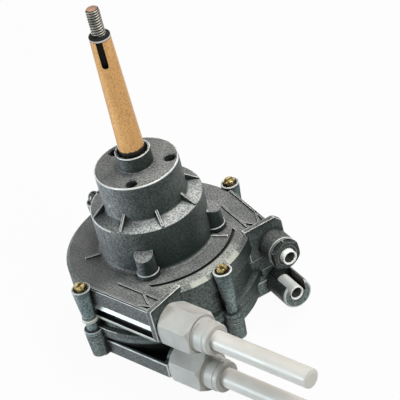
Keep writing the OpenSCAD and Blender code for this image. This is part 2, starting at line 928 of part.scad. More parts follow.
// Hollow nipple along the local arm axis
module nipple(x_low, x_high, z) {
    difference() {
        along_bar(nipple_r, x_low, x_high, inlet_offset, z);
        along_bar(nipple_bore_r, x_low - 1, x_high + 1, inlet_offset, z);
    }
}

module upper_inlet_nipple() {
    color(milky_white)
        inlet_side() nipple(nipple_seat_x, nipple_end_x, upper_layer_z);
}

module lower_inlet_nipple() {
    color(milky_white)
        inlet_side() nipple(inlet_arm_l - 2, nipple_end_x - 3, lower_layer_z);
}

module input_shaft() {
    taper_r = taper_d / 2;
    color(zinc_gold)
        difference() {
            rotate_extrude()
                polygon([
                    [0, carrier_top - carrier_t + 2],
                    [journal_r, carrier_top - carrier_t + 2],
                    [journal_r, thrust_z],
                    [thrust_r, thrust_z],
                    [thrust_r, thrust_top],
                    [shaft_r, thrust_top],
                    [shaft_r, clip_z],
                    [shaft_r - clip_groove, clip_z],
                    [shaft_r - clip_groove, clip_z + clip_t],
                    [shaft_r, clip_z + clip_t],
                    [shaft_r, taper_start],
                    [taper_r, taper_top - band_h],
                    [taper_r, taper_top - 1],
                    [taper_r - 1, taper_top],
                    [thread_d / 2, taper_top],
                    [thread_d / 2, taper_top + thread_l - 1],
                    [thread_d / 2 - 1, taper_top + thread_l],
                    [0, taper_top + thread_l]
                ]);
            rotate([0, 0, key_angle]) {
                block(
                    [taper_r - key_depth, -key_w / 2, taper_top - band_h - key_l + key_w / 2],
                    [shaft_d, key_w / 2, taper_top - band_h]
                );
                translate([taper_r - key_depth, 0, taper_top - band_h - key_l + key_w / 2])
                    rotate([0, 90, 0])
                        cylinder(r = key_w / 2, h = shaft_d);
            }
        }
}

module shaft_circlip() {
    color(steel)
        difference() {
            ring(bush_or - 0.6, shaft_r - clip_groove, clip_z, clip_z + clip_t);
            rotate([0, 0, 90])
                block([0, -2, clip_z - 1], [2 * bush_or, 2, clip_z + clip_t + 1]);
        }
}

module sun_gear() {
    color(steel)
        difference() {
            spur_gear(sun_teeth, gear_z, gear_w);
            rod(journal_r, gear_z - 1, gear_top + 1);
        }
}

// Places children at one planet's axis, turned so that its teeth mesh
module planet_place(i) {
    rotate([0, 0, i * 360 / planet_count])
        translate([planet_orbit_r, 0, 0])
            rotate([0, 0, 180 / planet_teeth])
                children();
}

module planet_gear(i) {
    color(steel)
        planet_place(i)
            difference() {
                spur_gear(planet_teeth, gear_z, gear_w);
                rod(planet_pin_r + run_gap, gear_z - 1, gear_top + 1);
            }
}

module planet_gear_1() {
    planet_gear(0);
}

module planet_gear_2() {
    planet_gear(1);
}

module planet_gear_3() {
    planet_gear(2);
}

module planet_carrier() {
    color(steel)
        difference() {
            union() {
                rod(carrier_r, carrier_z, carrier_top);
                rod(wheel_hub_r, hub_end_z, carrier_top);
                rod(rear_spigot_r, rear_boss_z + 0.5, carrier_top);
            }
            rod(journal_r + run_gap, carrier_z + 1, carrier_top + 1);
            for (i = [0 : planet_count - 1])
                planet_place(i)
                    rod(planet_pin_r, carrier_z - 1, carrier_top + 1);
            round_about(clamp_angles, clamp_circle_r)
                rod(clamp_screw_r, carrier_z - 1, carrier_top - 1);
        }
}

module planet_pins() {
    color(steel)
        for (i = [0 : planet_count - 1])
            planet_place(i)
                rod(planet_pin_r, carrier_z, pin_ring_z + pin_head_t + 0.6);
}

module pin_rings() {
    color(bronze)
        for (i = [0 : planet_count - 1])
            planet_place(i)
                ring(planet_pin_r + 2, planet_pin_r, pin_ring_z, pin_ring_z + pin_head_t);
}

// Toothed cable wheel along Z
module cable_wheel(z_low) {
    root_r = wheel_r - 2.6;
    share = 360 / wheel_teeth;
    difference() {
        translate([0, 0, z_low])
            linear_extrude(height = wheel_t)
                polygon([
                    for (i = [0 : wheel_teeth - 1])
                        for (p = [[root_r, -0.42], [wheel_r, -0.2], [wheel_r, 0.2], [root_r, 0.42]])
                            [p[0] * cos((i + p[1]) * share), p[0] * sin((i + p[1]) * share)]
                ]);
        rod(wheel_hub_r, z_low - 1, z_low + wheel_t + 1);
        round_about(clamp_angles, clamp_circle_r)
            rod(clamp_screw_r, z_low - 1, z_low + wheel_t + 1);
        round_about([0, 60, 120, 180, 240, 300], (wheel_hub_r + wheel_r) / 2 + 3)
            rod(6.5, z_low - 1, z_low + wheel_t + 1);
    }
}

module upper_cable_wheel() {
    color(bronze)
        cable_wheel(upper_wheel_z);
}

module lower_cable_wheel() {
    color(bronze)
        difference() {
            cable_wheel(lower_wheel_z);
            round_about(clamp_angles, clamp_circle_r)
                rod(clamp_head_r, lower_wheel_z - 1, lower_wheel_z + clamp_head_h);
        }
}

// Spacers that hold the wheels apart and the upper wheel off the carrier
module wheel_spacer() {
    color(steel)
        for (span = [[lower_wheel_z + wheel_t, upper_wheel_z], [upper_wheel_z + wheel_t, carrier_z]])
            difference() {
                ring(spacer_r, wheel_hub_r, span[0], span[1]);
                round_about(clamp_angles, clamp_circle_r)
                    rod(clamp_screw_r, span[0] - 1, span[1] + 1);
            }
}

module wheel_clamp_screws() {
    color(steel)
        round_about(clamp_angles, clamp_circle_r) {
            rod(clamp_screw_r, lower_wheel_z, carrier_top - 1);
            rod(clamp_head_r, lower_wheel_z, lower_wheel_z + clamp_head_h);
        }
}

front_casting();
rear_cover();
middle_plate();
front_gasket();
rear_gasket();
ring_gear();
upper_bush();
lower_bush();
thrust_washer();
shaft_seal();
rear_bush();
casing_screws();
upper_tube_nut();
lower_tube_nut();
upper_spent_tube();
lower_spent_tube();
tube_end_caps();
inlet_ring_nut();
upper_inlet_nipple();
lower_inlet_nipple();
input_shaft();
shaft_circlip();
sun_gear();
planet_carrier();
planet_pins();
pin_rings();
upper_cable_wheel();
lower_cable_wheel();
wheel_spacer();
wheel_clamp_screws();
planet_gear_1();
planet_gear_2();
planet_gear_3();
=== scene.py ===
# %% [markdown]
# # A boat steering helm, dressed in Blender
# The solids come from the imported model, so this lesson adds what the solids lack: soft cast edges,
# a thread, chamfers, finishes, light and a camera. The frame is loaded first, and its box is kept,
# because the dressed part must stay inside it.

# %% Load the frame
import math
import bpy
from mathutils import Matrix, Vector


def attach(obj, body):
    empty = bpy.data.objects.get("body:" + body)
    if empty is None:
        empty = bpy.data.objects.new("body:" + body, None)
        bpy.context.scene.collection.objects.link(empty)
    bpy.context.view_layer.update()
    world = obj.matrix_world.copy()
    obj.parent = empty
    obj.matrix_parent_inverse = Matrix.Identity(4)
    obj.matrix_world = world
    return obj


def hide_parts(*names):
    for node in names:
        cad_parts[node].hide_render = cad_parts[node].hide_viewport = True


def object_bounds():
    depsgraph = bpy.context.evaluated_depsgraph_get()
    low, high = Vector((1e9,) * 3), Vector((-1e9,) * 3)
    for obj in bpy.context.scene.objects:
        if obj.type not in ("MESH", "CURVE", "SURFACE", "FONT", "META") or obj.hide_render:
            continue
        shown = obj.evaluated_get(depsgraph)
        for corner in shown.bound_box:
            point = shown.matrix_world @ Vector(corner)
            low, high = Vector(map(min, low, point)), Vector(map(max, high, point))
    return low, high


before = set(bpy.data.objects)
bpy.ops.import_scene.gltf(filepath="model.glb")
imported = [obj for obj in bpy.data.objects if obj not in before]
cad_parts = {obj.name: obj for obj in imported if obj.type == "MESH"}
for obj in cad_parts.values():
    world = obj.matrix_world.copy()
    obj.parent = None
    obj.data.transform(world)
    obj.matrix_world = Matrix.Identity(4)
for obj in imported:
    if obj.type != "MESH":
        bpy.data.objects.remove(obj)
cad_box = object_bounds()
MM = 0.001
print("nodes", len(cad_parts), "box", [tuple(round(v, 4) for v in corner) for corner in cad_box])

# %% [markdown]
# ## The camera
# A camera could be moved by eye until the picture fits. Here it was solved from the outlines of the
# hub, the disc and the shaft in the photograph, so its direction, roll, distance and lens are known
# numbers. It looks down at the helm from the side between the two arms, with a long lens.

# %% Camera
CAMERA_AZIMUTH = math.radians(-32.5)
CAMERA_ELEVATION = math.radians(35.45)
CAMERA_ROLL = math.radians(-15.05)
CAMERA_TARGET = Vector((42.5, 17.4, -27.6)) * MM
CAMERA_DISTANCE = 1.456
CAMERA_LENS, CAMERA_SENSOR = 183.0, 36.0


def facing(azimuth, elevation):
    """A unit vector from two angles in radians."""
    level = math.cos(elevation)
    return Vector((math.cos(azimuth) * level, math.sin(azimuth) * level, math.sin(elevation)))


back = facing(CAMERA_AZIMUTH, CAMERA_ELEVATION)
level_right = (-back).cross(Vector((0, 0, 1))).normalized()
level_up = level_right.cross(-back)
right = math.cos(CAMERA_ROLL) * level_right + math.sin(CAMERA_ROLL) * level_up
up = -math.sin(CAMERA_ROLL) * level_right + math.cos(CAMERA_ROLL) * level_up
lens = bpy.data.cameras.new("camera")
lens.lens = CAMERA_LENS
lens.sensor_width = CAMERA_SENSOR
camera = bpy.data.objects.new("camera", lens)
bpy.context.collection.objects.link(camera)
camera.matrix_world = (
    Matrix.Translation(CAMERA_TARGET + back * CAMERA_DISTANCE)
    @ Matrix((right, up, back)).transposed().to_4x4()
)
bpy.context.scene.camera = camera
print("camera at", tuple(round(v, 3) for v in camera.matrix_world.translation))

# %% [markdown]
# ## Floor, world and lamps
# The photograph has a plain white ground, so a white floor and a white sky are enough. The white that
# the camera sees comes from the Light Path node, so it puts no extra light on the casting.

# %% White ground
scene = bpy.context.scene
scene.view_settings.view_transform = "Standard"
FLOOR_Z = cad_box[0].z - 0.5 * MM
FLOOR_WHITENESS = 0.955


def reckon(tree, operation, *values):
    """A sum of sockets and numbers, worked out by a Math node."""
    node = tree.nodes.new("ShaderNodeMath")
    node.operation = operation
    for socket, value in zip(node.inputs, values):
        if isinstance(value, (int, float)):
            socket.default_value = value
        else:
            tree.links.new(value, socket)
    return node.outputs[0]


def seen_rays(tree):
    """One for rays from the camera, from a glossy face or through a clear one, and zero for light."""
    path = tree.nodes.new("ShaderNodeLightPath")
    seen = path.outputs["Is Camera Ray"]
    for kind in ("Is Glossy Ray", "Is Transmission Ray"):
        seen = reckon(tree, "MAXIMUM", seen, path.outputs[kind])
    return seen


world = bpy.data.worlds.new("white_room")
scene.world = world
world.use_nodes = True
sky = world.node_tree
sky.nodes.clear()
sky_out = sky.nodes.new("ShaderNodeOutputWorld")
sky_mix = sky.nodes.new("ShaderNodeMixShader")
sky_light = sky.nodes.new("ShaderNodeBackground")
sky_light.inputs["Color"].default_value = (0.78, 1.0, 0.94, 1)
sky_light.inputs["Strength"].default_value = 0.05
sky_white = sky.nodes.new("ShaderNodeBackground")
sky_white.inputs["Color"].default_value = (1, 1, 1, 1)
sky_white.inputs["Strength"].default_value = 1.0
sky.links.new(seen_rays(sky), sky_mix.inputs[0])
sky.links.new(sky_light.outputs[0], sky_mix.inputs[1])
sky.links.new(sky_white.outputs[0], sky_mix.inputs[2])
sky.links.new(sky_mix.outputs[0], sky_out.inputs[0])

bpy.ops.object.select_all(action="DESELECT")
bpy.ops.mesh.primitive_grid_add(x_subdivisions=8, y_subdivisions=8, size=6, location=(0, 0, FLOOR_Z))
floor = bpy.context.object
floor.name = "floor"
floor_paint = bpy.data.materials.new("floor_paint")
floor_paint.use_nodes = True
paint = floor_paint.node_tree
floor_shader = paint.nodes["Principled BSDF"]
floor_shader.inputs["Base Color"].default_value = (0.5, 0.5, 0.5, 1)
floor_shader.inputs["Roughness"].default_value = 0.9
floor_glow = paint.nodes.new("ShaderNodeEmission")
floor_glow.inputs["Color"].default_value = (1, 1, 1, 1)
floor_glow.inputs["Strength"].default_value = 1.0
floor_mix = paint.nodes.new("ShaderNodeMixShader")
paint.links.new(reckon(paint, "MULTIPLY", seen_rays(paint), FLOOR_WHITENESS), floor_mix.inputs[0])
paint.links.new(floor_shader.outputs[0], floor_mix.inputs[1])
paint.links.new(floor_glow.outputs[0], floor_mix.inputs[2])
paint.links.new(floor_mix.outputs[0], paint.nodes["Material Output"].inputs["Surface"])
floor.data.materials.append(floor_paint)
print("floor at", round(FLOOR_Z, 4))

# %% [markdown]
# Four soft area lamps model the form. In the photograph the upward faces are bright, and the walls
# are bright on the tube side, so a broad warm lamp hangs high behind the inlet arm, and a cooler one
# stands low on the far side of the tube arm. A weak one in front reaches into the ports, and another
# behind keeps the back readable.

# %% Lamps
LIT_CENTRE = Vector((20, 0, -50)) * MM


def soft_lamp(name, azimuth, elevation, distance, size, power, colour):
    """A square area lamp that looks at the middle of the helm."""
    direction = facing(math.radians(azimuth), math.radians(elevation))
    lamp = bpy.data.lights.new(name, "AREA")
    lamp.size = size
    lamp.energy = power
    lamp.color = colour
    holder = bpy.data.objects.new(name, lamp)
    bpy.context.collection.objects.link(holder)
    holder.location = LIT_CENTRE + direction * distance
    holder.rotation_mode = "QUATERNION"
    holder.rotation_quaternion = direction.to_track_quat("Z", "Y")


soft_lamp("high_lamp", 80, 71, 1.2, 0.45, 12.5, (1.0, 0.985, 0.955))
soft_lamp("side_lamp", -116, 6, 1.3, 0.45, 15.0, (0.80, 0.93, 1.0))
soft_lamp("front_lamp", 2, 36, 1.3, 0.6, 10.0, (0.95, 1.0, 0.97))
soft_lamp("back_lamp", 165, 5, 1.3, 0.6, 5.0, (1.0, 1.0, 1.0))

# %% [markdown]
# ## Modelling by hand, in code
# A caster's and a turner's shapes are few. A round piece is half an outline spun about its axis, as
# on a lathe. A rib is an outline raised into a plate. A block is a cube with bevelled edges. So
# three helpers trace, spin and raise, with the same operators that a hand would use in edit mode.

# %% Selecting
def pick_nothing():
    """Leaves edit mode and lets go of every object."""
    if bpy.context.mode != "OBJECT":
        bpy.ops.object.mode_set(mode="OBJECT")
    bpy.ops.object.select_all(action="DESELECT")


def take(piece):
    """Makes one piece the only selected one."""
    pick_nothing()
    piece.select_set(True)
    bpy.context.view_layer.objects.active = piece


pick_nothing()

# %% Tracing an outline
ARC_STEPS = 4
MOST_OF_SIDE = 0.48


def eased(corners):
    """Rounds each corner (a, b, radius) of a closed outline into a short arc."""
    outline = []
    for i, (a, b, radius) in enumerate(corners):
        here = Vector((a, b))
        if not radius:
            outline.append(here)
            continue
        behind = Vector(corners[i - 1][:2]) - here
        ahead = Vector(corners[(i + 1) % len(corners)][:2]) - here
        half = behind.angle(ahead) / 2
        reach = min(radius / math.tan(half), MOST_OF_SIDE * behind.length, MOST_OF_SIDE * ahead.length)
        for k in range(ARC_STEPS + 1):
            t = k / ARC_STEPS
            pull = behind.normalized() * (1 - t) ** 2 + ahead.normalized() * t ** 2
            outline.append(here + pull * reach)
    return outline


def trace(name, outline, upright):
    """Draws a closed outline, one extruded point after another, and stays in edit mode."""
    pick_nothing()
    bpy.ops.mesh.primitive_plane_add(size=MM)
    piece = bpy.context.object
    piece.name = name
    piece.data.name = name
    bpy.ops.object.mode_set(mode="EDIT")
    bpy.ops.mesh.select_mode(type="VERT")
    bpy.ops.mesh.merge(type="CENTER")
    points = [Vector((p[0], 0, p[1])) if upright else Vector((p[0], p[1], 0)) for p in outline]
    bpy.ops.transform.translate(value=points[0] * MM)
    for here, there in zip(points, points[1:]):
        bpy.ops.mesh.extrude_region_move(TRANSFORM_OT_translate={"value": (there - here) * MM})
    bpy.ops.mesh.select_all(action="SELECT")
    bpy.ops.mesh.edge_face_add()
    return piece


print("an eased square has", len(eased([(0, 0, 1), (9, 0, 1), (9, 9, 1), (0, 9, 1)])), "points")

# %% Turned pieces
SPIN_STEPS, FINE_STEPS = 96, 128


def turned(name, corners, steps=SPIN_STEPS, turn=math.tau):
    """Spins an outline of (radius, height, rounding) about the upright axis."""
    piece = trace(name, eased(corners), upright=True)
    if turn == math.tau:
        bpy.ops.mesh.delete(type="ONLY_FACE")
        bpy.ops.mesh.select_all(action="SELECT")
    bpy.ops.mesh.spin(steps=steps, angle=turn, center=(0, 0, 0), axis=(0, 0, 1))
    bpy.ops.mesh.select_all(action="SELECT")
    bpy.ops.mesh.remove_doubles(threshold=1e-6)
    if turn != math.tau:
        bpy.ops.mesh.fill_holes(sides=0)
        bpy.ops.mesh.select_all(action="SELECT")
    bpy.ops.mesh.normals_make_consistent(inside=False)
    pick_nothing()
    return piece


def sleeve(inner, outer, low, high, low_edge=0, high_edge=0):
    """The outline of a plain ring, or of a rod where the inner radius is zero."""
    return [(inner, low, 0), (outer, low, low_edge), (outer, high, high_edge), (inner, high, 0)]


print("one step of a full spin is", 360 / SPIN_STEPS, "degrees, or", 360 / FINE_STEPS, "on large pieces")

# %% Plates and blocks
SHARP_EDGE = 30
BEVEL_STEPS = 2


def soften(edge):
    """Bevels the sharp edges of the piece in edit mode."""
    if edge:
        bpy.ops.mesh.select_all(action="DESELECT")
        bpy.ops.mesh.select_mode(type="EDGE")
        bpy.ops.mesh.edges_select_sharp(sharpness=math.radians(SHARP_EDGE))
        bpy.ops.mesh.bevel(offset=edge * MM, segments=BEVEL_STEPS, affect="EDGES")
    pick_nothing()


def plate(name, corners, low, high, edge=0.5):
    """Raises a flat outline of (x, y, rounding) from one height to another."""
    piece = trace(name, eased(corners), upright=False)
    bpy.ops.transform.translate(value=(0, 0, low * MM))
    bpy.ops.mesh.extrude_region_move(TRANSFORM_OT_translate={"value": (0, 0, (high - low) * MM)})
    bpy.ops.mesh.select_all(action="SELECT")
    bpy.ops.mesh.normals_make_consistent(inside=False)
    soften(edge)
    return piece


def block(name, low, high, edge=0.6):
    """A cube between two corners, with its edges bevelled."""
    low, high = Vector(low) * MM, Vector(high) * MM
    pick_nothing()
    bpy.ops.mesh.primitive_cube_add(size=1, location=(low + high) / 2, scale=high - low)
    piece = bpy.context.object
    piece.name = name
    piece.data.name = name
    bpy.ops.object.transform_apply(location=True, rotation=True, scale=True)
    bpy.ops.object.mode_set(mode="EDIT")
    soften(edge)
    return piece


print("edges that turn by more than", SHARP_EDGE, "degrees get a bevel of", BEVEL_STEPS, "steps")

# %% Placing, cutting and joining
QUARTER = math.radians(90)


def put(piece, turn=0.0, at=(0, 0, 0), tip=(0.0, 0.0)):
    """Tips a piece, turns it about the upright axis, moves it, and keeps the place in its mesh."""
    take(piece)
    piece.matrix_world = (
        Matrix.Translation(Vector(at) * MM)
        @ Matrix.Rotation(turn, 4, "Z")
        @ Matrix.Rotation(tip[1], 4, "Y")
        @ Matrix.Rotation(tip[0], 4, "X")
    )
    bpy.ops.object.transform_apply(location=True, rotation=True, scale=True)
    return piece


def copy_of(piece, name):
    """A copy with its own mesh."""
    twin = piece.copy()
    twin.data = piece.data.copy()
    twin.name = name
    twin.data.name = name
    bpy.context.collection.objects.link(twin)
    return twin


def ring_of(piece, angles):
    """Copies of a piece, turned about the shaft's axis to each angle in degrees."""
    copies = [put(copy_of(piece, f"{piece.name}_{i}"), math.radians(a)) for i, a in enumerate(angles)]
    bpy.data.objects.remove(piece)
    return copies


def join(name, pieces):
    """Several shells as one piece."""
    pick_nothing()
    for piece in pieces:
        piece.select_set(True)
    bpy.context.view_layer.objects.active = pieces[0]
    bpy.ops.object.join()
    whole = bpy.context.object
    whole.name = name
    whole.data.name = name
    pick_nothing()
    return whole


def cut(piece, *cutters, operation="DIFFERENCE"):
    """Takes the cutters' shapes out of a piece, or keeps only what they share, and removes them."""
    for cutter in cutters:
        take(piece)
        knife = piece.modifiers.new("cut", "BOOLEAN")
        knife.operation = operation
        knife.solver = "EXACT"
        knife.object = cutter
        bpy.ops.object.modifier_apply(modifier=knife.name)
        bpy.data.objects.remove(cutter)
    return piece


def hollow(piece, r, low, high, steps=FINE_STEPS):
    """Clears a round space on the shaft's axis out of a shell."""
    return cut(piece, turned("space", sleeve(0, r, low, high), steps))


print("a quarter turn is", round(QUARTER, 4), "radians")

# %% [markdown]
# ## Worn and highlit edges
# Handling rubs a casting bright along its outer edges, and the same edges catch highlights, so the
# bright mark is partly wear and partly painted highlight. A painter would dry-brush them. Here each
# narrow face of a bevel or an arc that bulges outwards is marked with a number on the mesh, and the
# finish reads that number, so the bright mark stays on the edges from every side. A narrow strip of a
# plain cylinder also bulges, but less, so a least bend leaves it out.

# %% Marking the worn and highlit edges
EDGE_MARK_WIDTH = 0.85
LEAST_BEND, MOST_BEND = math.radians(26), math.radians(80)


def mark_worn_and_highlit_edges(piece, spare=None):
    """Writes 1 on narrow faces that bulge outwards along their long sides, and 0 on the others.

    Faces whose middle the spare function picks out, in millimetres, are left alone.
    """
    mesh = piece.data
    owners = {}
    for face in mesh.polygons:
        for key in face.edge_keys:
            owners.setdefault(key, []).append(face.index)

    def length(key):
        return (mesh.vertices[key[0]].co - mesh.vertices[key[1]].co).length

    marks = [0.0] * len(mesh.polygons)
    for face in mesh.polygons:
        longest = max(length(key) for key in face.edge_keys)
        if longest == 0 or face.area / longest > EDGE_MARK_WIDTH * MM:
            continue
        if spare and spare(face.center / MM):
            continue
        bulge = 0.0
        for key in face.edge_keys:
            for other in owners[key]:
                neighbour = mesh.polygons[other]
                bend = face.normal.angle(neighbour.normal, 0.0)
                if other != face.index and bend < MOST_BEND:
                    outward = (neighbour.center - face.center).dot(face.normal) < 0
                    bulge += (bend if outward else -bend) * length(key) / longest
        marks[face.index] = 1.0 if bulge > LEAST_BEND else 0.0
    # The mark stands for wear and for a painted highlight on the edge.
    layer = mesh.attributes.new("worn", "FLOAT", "FACE")
    layer.data.foreach_set("value", marks)
    return sum(marks)


print("worn faces are narrower than", EDGE_MARK_WIDTH, "mm")

# %% [markdown]
# ## Dressing
# A finished piece is smoothed across its gentle edges only. Long thin faces would still pull the
# shading of the flat ones beside them, so a weighted normal modifier lets the large faces decide.
# Then each face gets its finish, and the piece rides on a body in place of the solid it dresses.

# %% Dressing a piece
GENTLE_EDGE = 35


def dress(piece, body, nodes, finishes, zone=None, smooth=GENTLE_EDGE):
    """Smooths a piece, finishes it, and hangs it on its body in place of CAD nodes.

    The zone function, where given, picks a finish's number for a face.
    """
    take(piece)
    bpy.ops.object.shade_smooth_by_angle(angle=math.radians(smooth))
    flat_faces = piece.modifiers.new("flat_faces", "WEIGHTED_NORMAL")
    flat_faces.keep_sharp = True
    bpy.ops.object.modifier_apply(modifier=flat_faces.name)
    piece.data.materials.clear()
    for finish in finishes:
        piece.data.materials.append(finish)
    for face in piece.data.polygons:
        face.material_index = zone(face) if zone else 0
    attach(piece, body)
    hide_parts(*nodes)
    pick_nothing()
    size = piece.dimensions / MM
    print(piece.name, "faces", len(piece.data.polygons), "size mm", tuple(round(v, 1) for v in size))


print("edges under", GENTLE_EDGE, "degrees are smoothed unless a piece asks for another angle")

# %% [markdown]
# ## Finishes
# Each finish is a small node tree on Object coordinates, in metres, so its grain keeps its real
# size. A few helpers add a noise, a colour ramp, painted shade in creases and a bump.

# %% Node helpers
def new_finish(name, roughness, metallic=0.0, gloss=0.5):
    """A material with a principled shader whose constants are set on the shader itself."""
    finish = bpy.data.materials.new(name)
    finish.use_nodes = True
    tree = finish.node_tree
    shader = tree.nodes["Principled BSDF"]
    shader.inputs["Roughness"].default_value = roughness
    shader.inputs["Metallic"].default_value = metallic
    shader.inputs["Specular IOR Level"].default_value = gloss
    return finish, tree, shader


def grain(tree, scale, detail=3.0, stretch=(1, 1, 1)):
    """A noise with about scale lumps in a metre, stretched along an axis where asked."""
    place = tree.nodes.new("ShaderNodeTexCoord")
    mapping = tree.nodes.new("ShaderNodeMapping")
    mapping.vector_type = "TEXTURE"
    mapping.inputs["Scale"].default_value = stretch
    noise = tree.nodes.new("ShaderNodeTexNoise")
    noise.inputs["Scale"].default_value = scale
    noise.inputs["Detail"].default_value = detail
    tree.links.new(place.outputs["Object"], mapping.inputs["Vector"])
    tree.links.new(mapping.outputs["Vector"], noise.inputs["Vector"])
    return noise.outputs["Fac"]


def ramp(tree, value, stops):
    """Colours along a value: stops of (position, (red, green, blue))."""
    band = tree.nodes.new("ShaderNodeValToRGB")
    while len(band.color_ramp.elements) < len(stops):
        band.color_ramp.elements.new(0.5)
    for element, (position, colour) in zip(band.color_ramp.elements, stops):
        element.position = position
        element.color = (*colour, 1)
    tree.links.new(value, band.inputs["Fac"])
    return band.outputs["Color"]


def greys(tree, value, *stops):
    """Neutral greys along a value: stops of (position, tone)."""
    return ramp(tree, value, [(position, (tone, tone, tone)) for position, tone in stops])


def blend_colours(tree, share, first, second, way="MIX"):
    """Mixes two colours by a share, which is a socket or a number."""
    mix = tree.nodes.new("ShaderNodeMix")
    mix.data_type = "RGBA"
    mix.blend_type = way
    for value, socket in ((share, "Factor"), (first, "A"), (second, "B")):
        if isinstance(value, float):
            mix.inputs[socket].default_value = value
        elif isinstance(value, tuple):
            mix.inputs[socket].default_value = (*value, 1)
        else:
            tree.links.new(value, mix.inputs[socket])
    return mix.outputs["Result"]


def remap(tree, value, start, end, low=0.0, high=1.0):
    """How far a value lies between two limits, as a number from low to high."""
    scale = tree.nodes.new("ShaderNodeMapRange")
    scale.inputs["From Min"].default_value = start
    scale.inputs["From Max"].default_value = end
    scale.inputs["To Min"].default_value = low
    scale.inputs["To Max"].default_value = high
    tree.links.new(value, scale.inputs["Value"])
    return scale.outputs["Result"]


def spread(tree, noise, low, high):
    """Maps the middle range of a noise onto a range of numbers."""
    return remap(tree, noise, 0.3, 0.7, low, high)


def bump(tree, shader, height, strength, depth):
    """Raises a height of so many millimetres on a shader's normal."""
    relief = tree.nodes.new("ShaderNodeBump")
    relief.inputs["Strength"].default_value = strength
    relief.inputs["Distance"].default_value = depth * MM
    tree.links.new(height, relief.inputs["Height"])
    tree.links.new(relief.outputs["Normal"], shader.inputs["Normal"])


def paint_crease_shade(tree, colour, reach, depth):
    """Multiplies a colour by a painted shade in corners within reach millimetres, from ambient occlusion."""
    hidden = tree.nodes.new("ShaderNodeAmbientOcclusion")
    hidden.only_local = True
    hidden.samples = 8
    hidden.inputs["Distance"].default_value = reach * MM
    crease_shade = greys(tree, hidden.outputs["AO"], (0.35, depth), (0.85, 1.0))
    return blend_colours(tree, 1.0, colour, crease_shade, "MULTIPLY")


print("finishes so far", [material.name for material in bpy.data.materials])

# %% [markdown]
# ## Die-cast grey
# The housing is a die casting with a dull grey skin: a little blue-green, mottled and finely pitted,
# with painted shade in its corners and a bright mark on its edges that is partly wear and partly
# painted highlight. A pure metal would mirror the white room and go pale, so the shader is barely
# metallic and its colour carries the tone.
#
# The light leaves it darker in some places than in others, and that light and shade are painted into
# its colour: the walls are darker low down and on the shaded sides, the low ledges are near black, and
# the step and the disc's front rim are brighter. These are painted shade and painted light. A painter
# would glaze this by hand. Here the painted shade follows a point's place and the way its face
# points, both on the piece's own axes, so it stays with the piece at every pose.

# %% Shade of the walls
LOWEST = -130


def axes(tree, kind):
    """The x, y and z of a point's place, or of the way its face points."""
    coordinates = tree.nodes.new("ShaderNodeTexCoord")
    parts = tree.nodes.new("ShaderNodeSeparateXYZ")
    tree.links.new(coordinates.outputs[kind], parts.inputs[0])
    return parts.outputs


def between(tree, length, start, end):
    """How far a length lies between two limits in millimetres, from 0 to 1."""
    return remap(tree, length, start * MM, end * MM)


def wall_shade(tree, where, faces):
    """Upright faces, with their own run of tones by height on each side of the casting."""
    height = between(tree, where["Z"], LOWEST, 0)
    sides = greys(tree, height, (0.0, 0.22), (0.14, 0.24), (0.19, 0.42), (0.42, 0.46), (0.55, 0.55),
                  (0.78, 0.8), (1.0, 0.88))
    rear = greys(tree, height, (0.0, 0.45), (0.46, 0.48), (0.55, 0.55), (1.0, 0.75))
    front = ramp(tree, height, [
        (0.0, (0.38, 0.44, 0.43)), (0.44, (0.36, 0.42, 0.41)),
        (0.5, (0.04, 0.08, 0.07)), (1.0, (0.2, 0.24, 0.235)),
    ])
    inlet_side = ramp(tree, height, [(0.5, (0.08, 0.11, 0.1)), (0.56, (0.24, 0.27, 0.26))])
    shade = blend_colours(tree, remap(tree, faces["X"], -0.2, -0.8), sides, rear)
    shade = blend_colours(tree, remap(tree, faces["X"], 0.1, 0.75), shade, front)
    return blend_colours(tree, remap(tree, faces["Y"], 0.1, 0.45), shade, inlet_side)


print("wall tones run from", LOWEST, "mm to the mounting face")

# %% Shade of the tops
HIGHLIT_FROM, HIGHLIT_FULLY = 59.3, 60.1
HIGHLIT_LIMITS = (("X", 25, 45), ("Y", 30, 22), ("Y", -45, -30))


def disc_shade(tree, where):
    """The disc's top shade, by a slanting distance across it, with a painted highlight in a ring by its front
    rim.
    """
    slant = reckon(tree, "MULTIPLY_ADD", where["Y"], 0.7, where["X"])
    shade = greys(tree, between(tree, slant, -80, 120), (0.0, 0.34), (0.1, 0.25), (0.18, 0.29),
                  (0.29, 0.54), (0.37, 0.72), (0.56, 0.66), (0.72, 0.62), (0.84, 0.58), (0.95, 0.42))
    level = tree.nodes.new("ShaderNodeCombineXYZ")
    for axis in "XY":
        tree.links.new(where[axis], level.inputs[axis])
    radius = tree.nodes.new("ShaderNodeVectorMath")
    radius.operation = "LENGTH"
    tree.links.new(level.outputs[0], radius.inputs[0])
    # A ring by the disc's front rim is painted brighter, as a painted highlight.
    highlit = between(tree, radius.outputs["Value"], HIGHLIT_FROM, HIGHLIT_FULLY)
    for axis, outside, inside in HIGHLIT_LIMITS:
        highlit = reckon(tree, "MULTIPLY", highlit, between(tree, where[axis], outside, inside))
    return blend_colours(tree, highlit, shade, (1.4, 1.4, 1.32))


def top_shade(tree, where):
    """Upward faces, from the hub down over the step and the disc to the low ledges."""
    # The hub and the step are painted lighter towards the lit side, as painted light and shade.
    hub = greys(tree, between(tree, where["X"], -70, 60), (0.1, 0.38), (0.55, 0.62), (0.95, 0.95))
    step = greys(tree, between(tree, where["X"], -20, 40), (0.2, 0.33), (0.55, 0.8), (0.8, 1.42))
    disc = disc_shade(tree, where)
    # The low ledges get a near-black painted shade.
    low_ledges = (0.2, 0.24, 0.23)
    shade = hub
    for upper, lower, below in (
        (-26.5, -28.5, step), (-36, -40, hub), (-50, -60, disc), (-74, -78, low_ledges),
    ):
        shade = blend_colours(tree, between(tree, where["Z"], upper, lower), shade, below)
    return shade


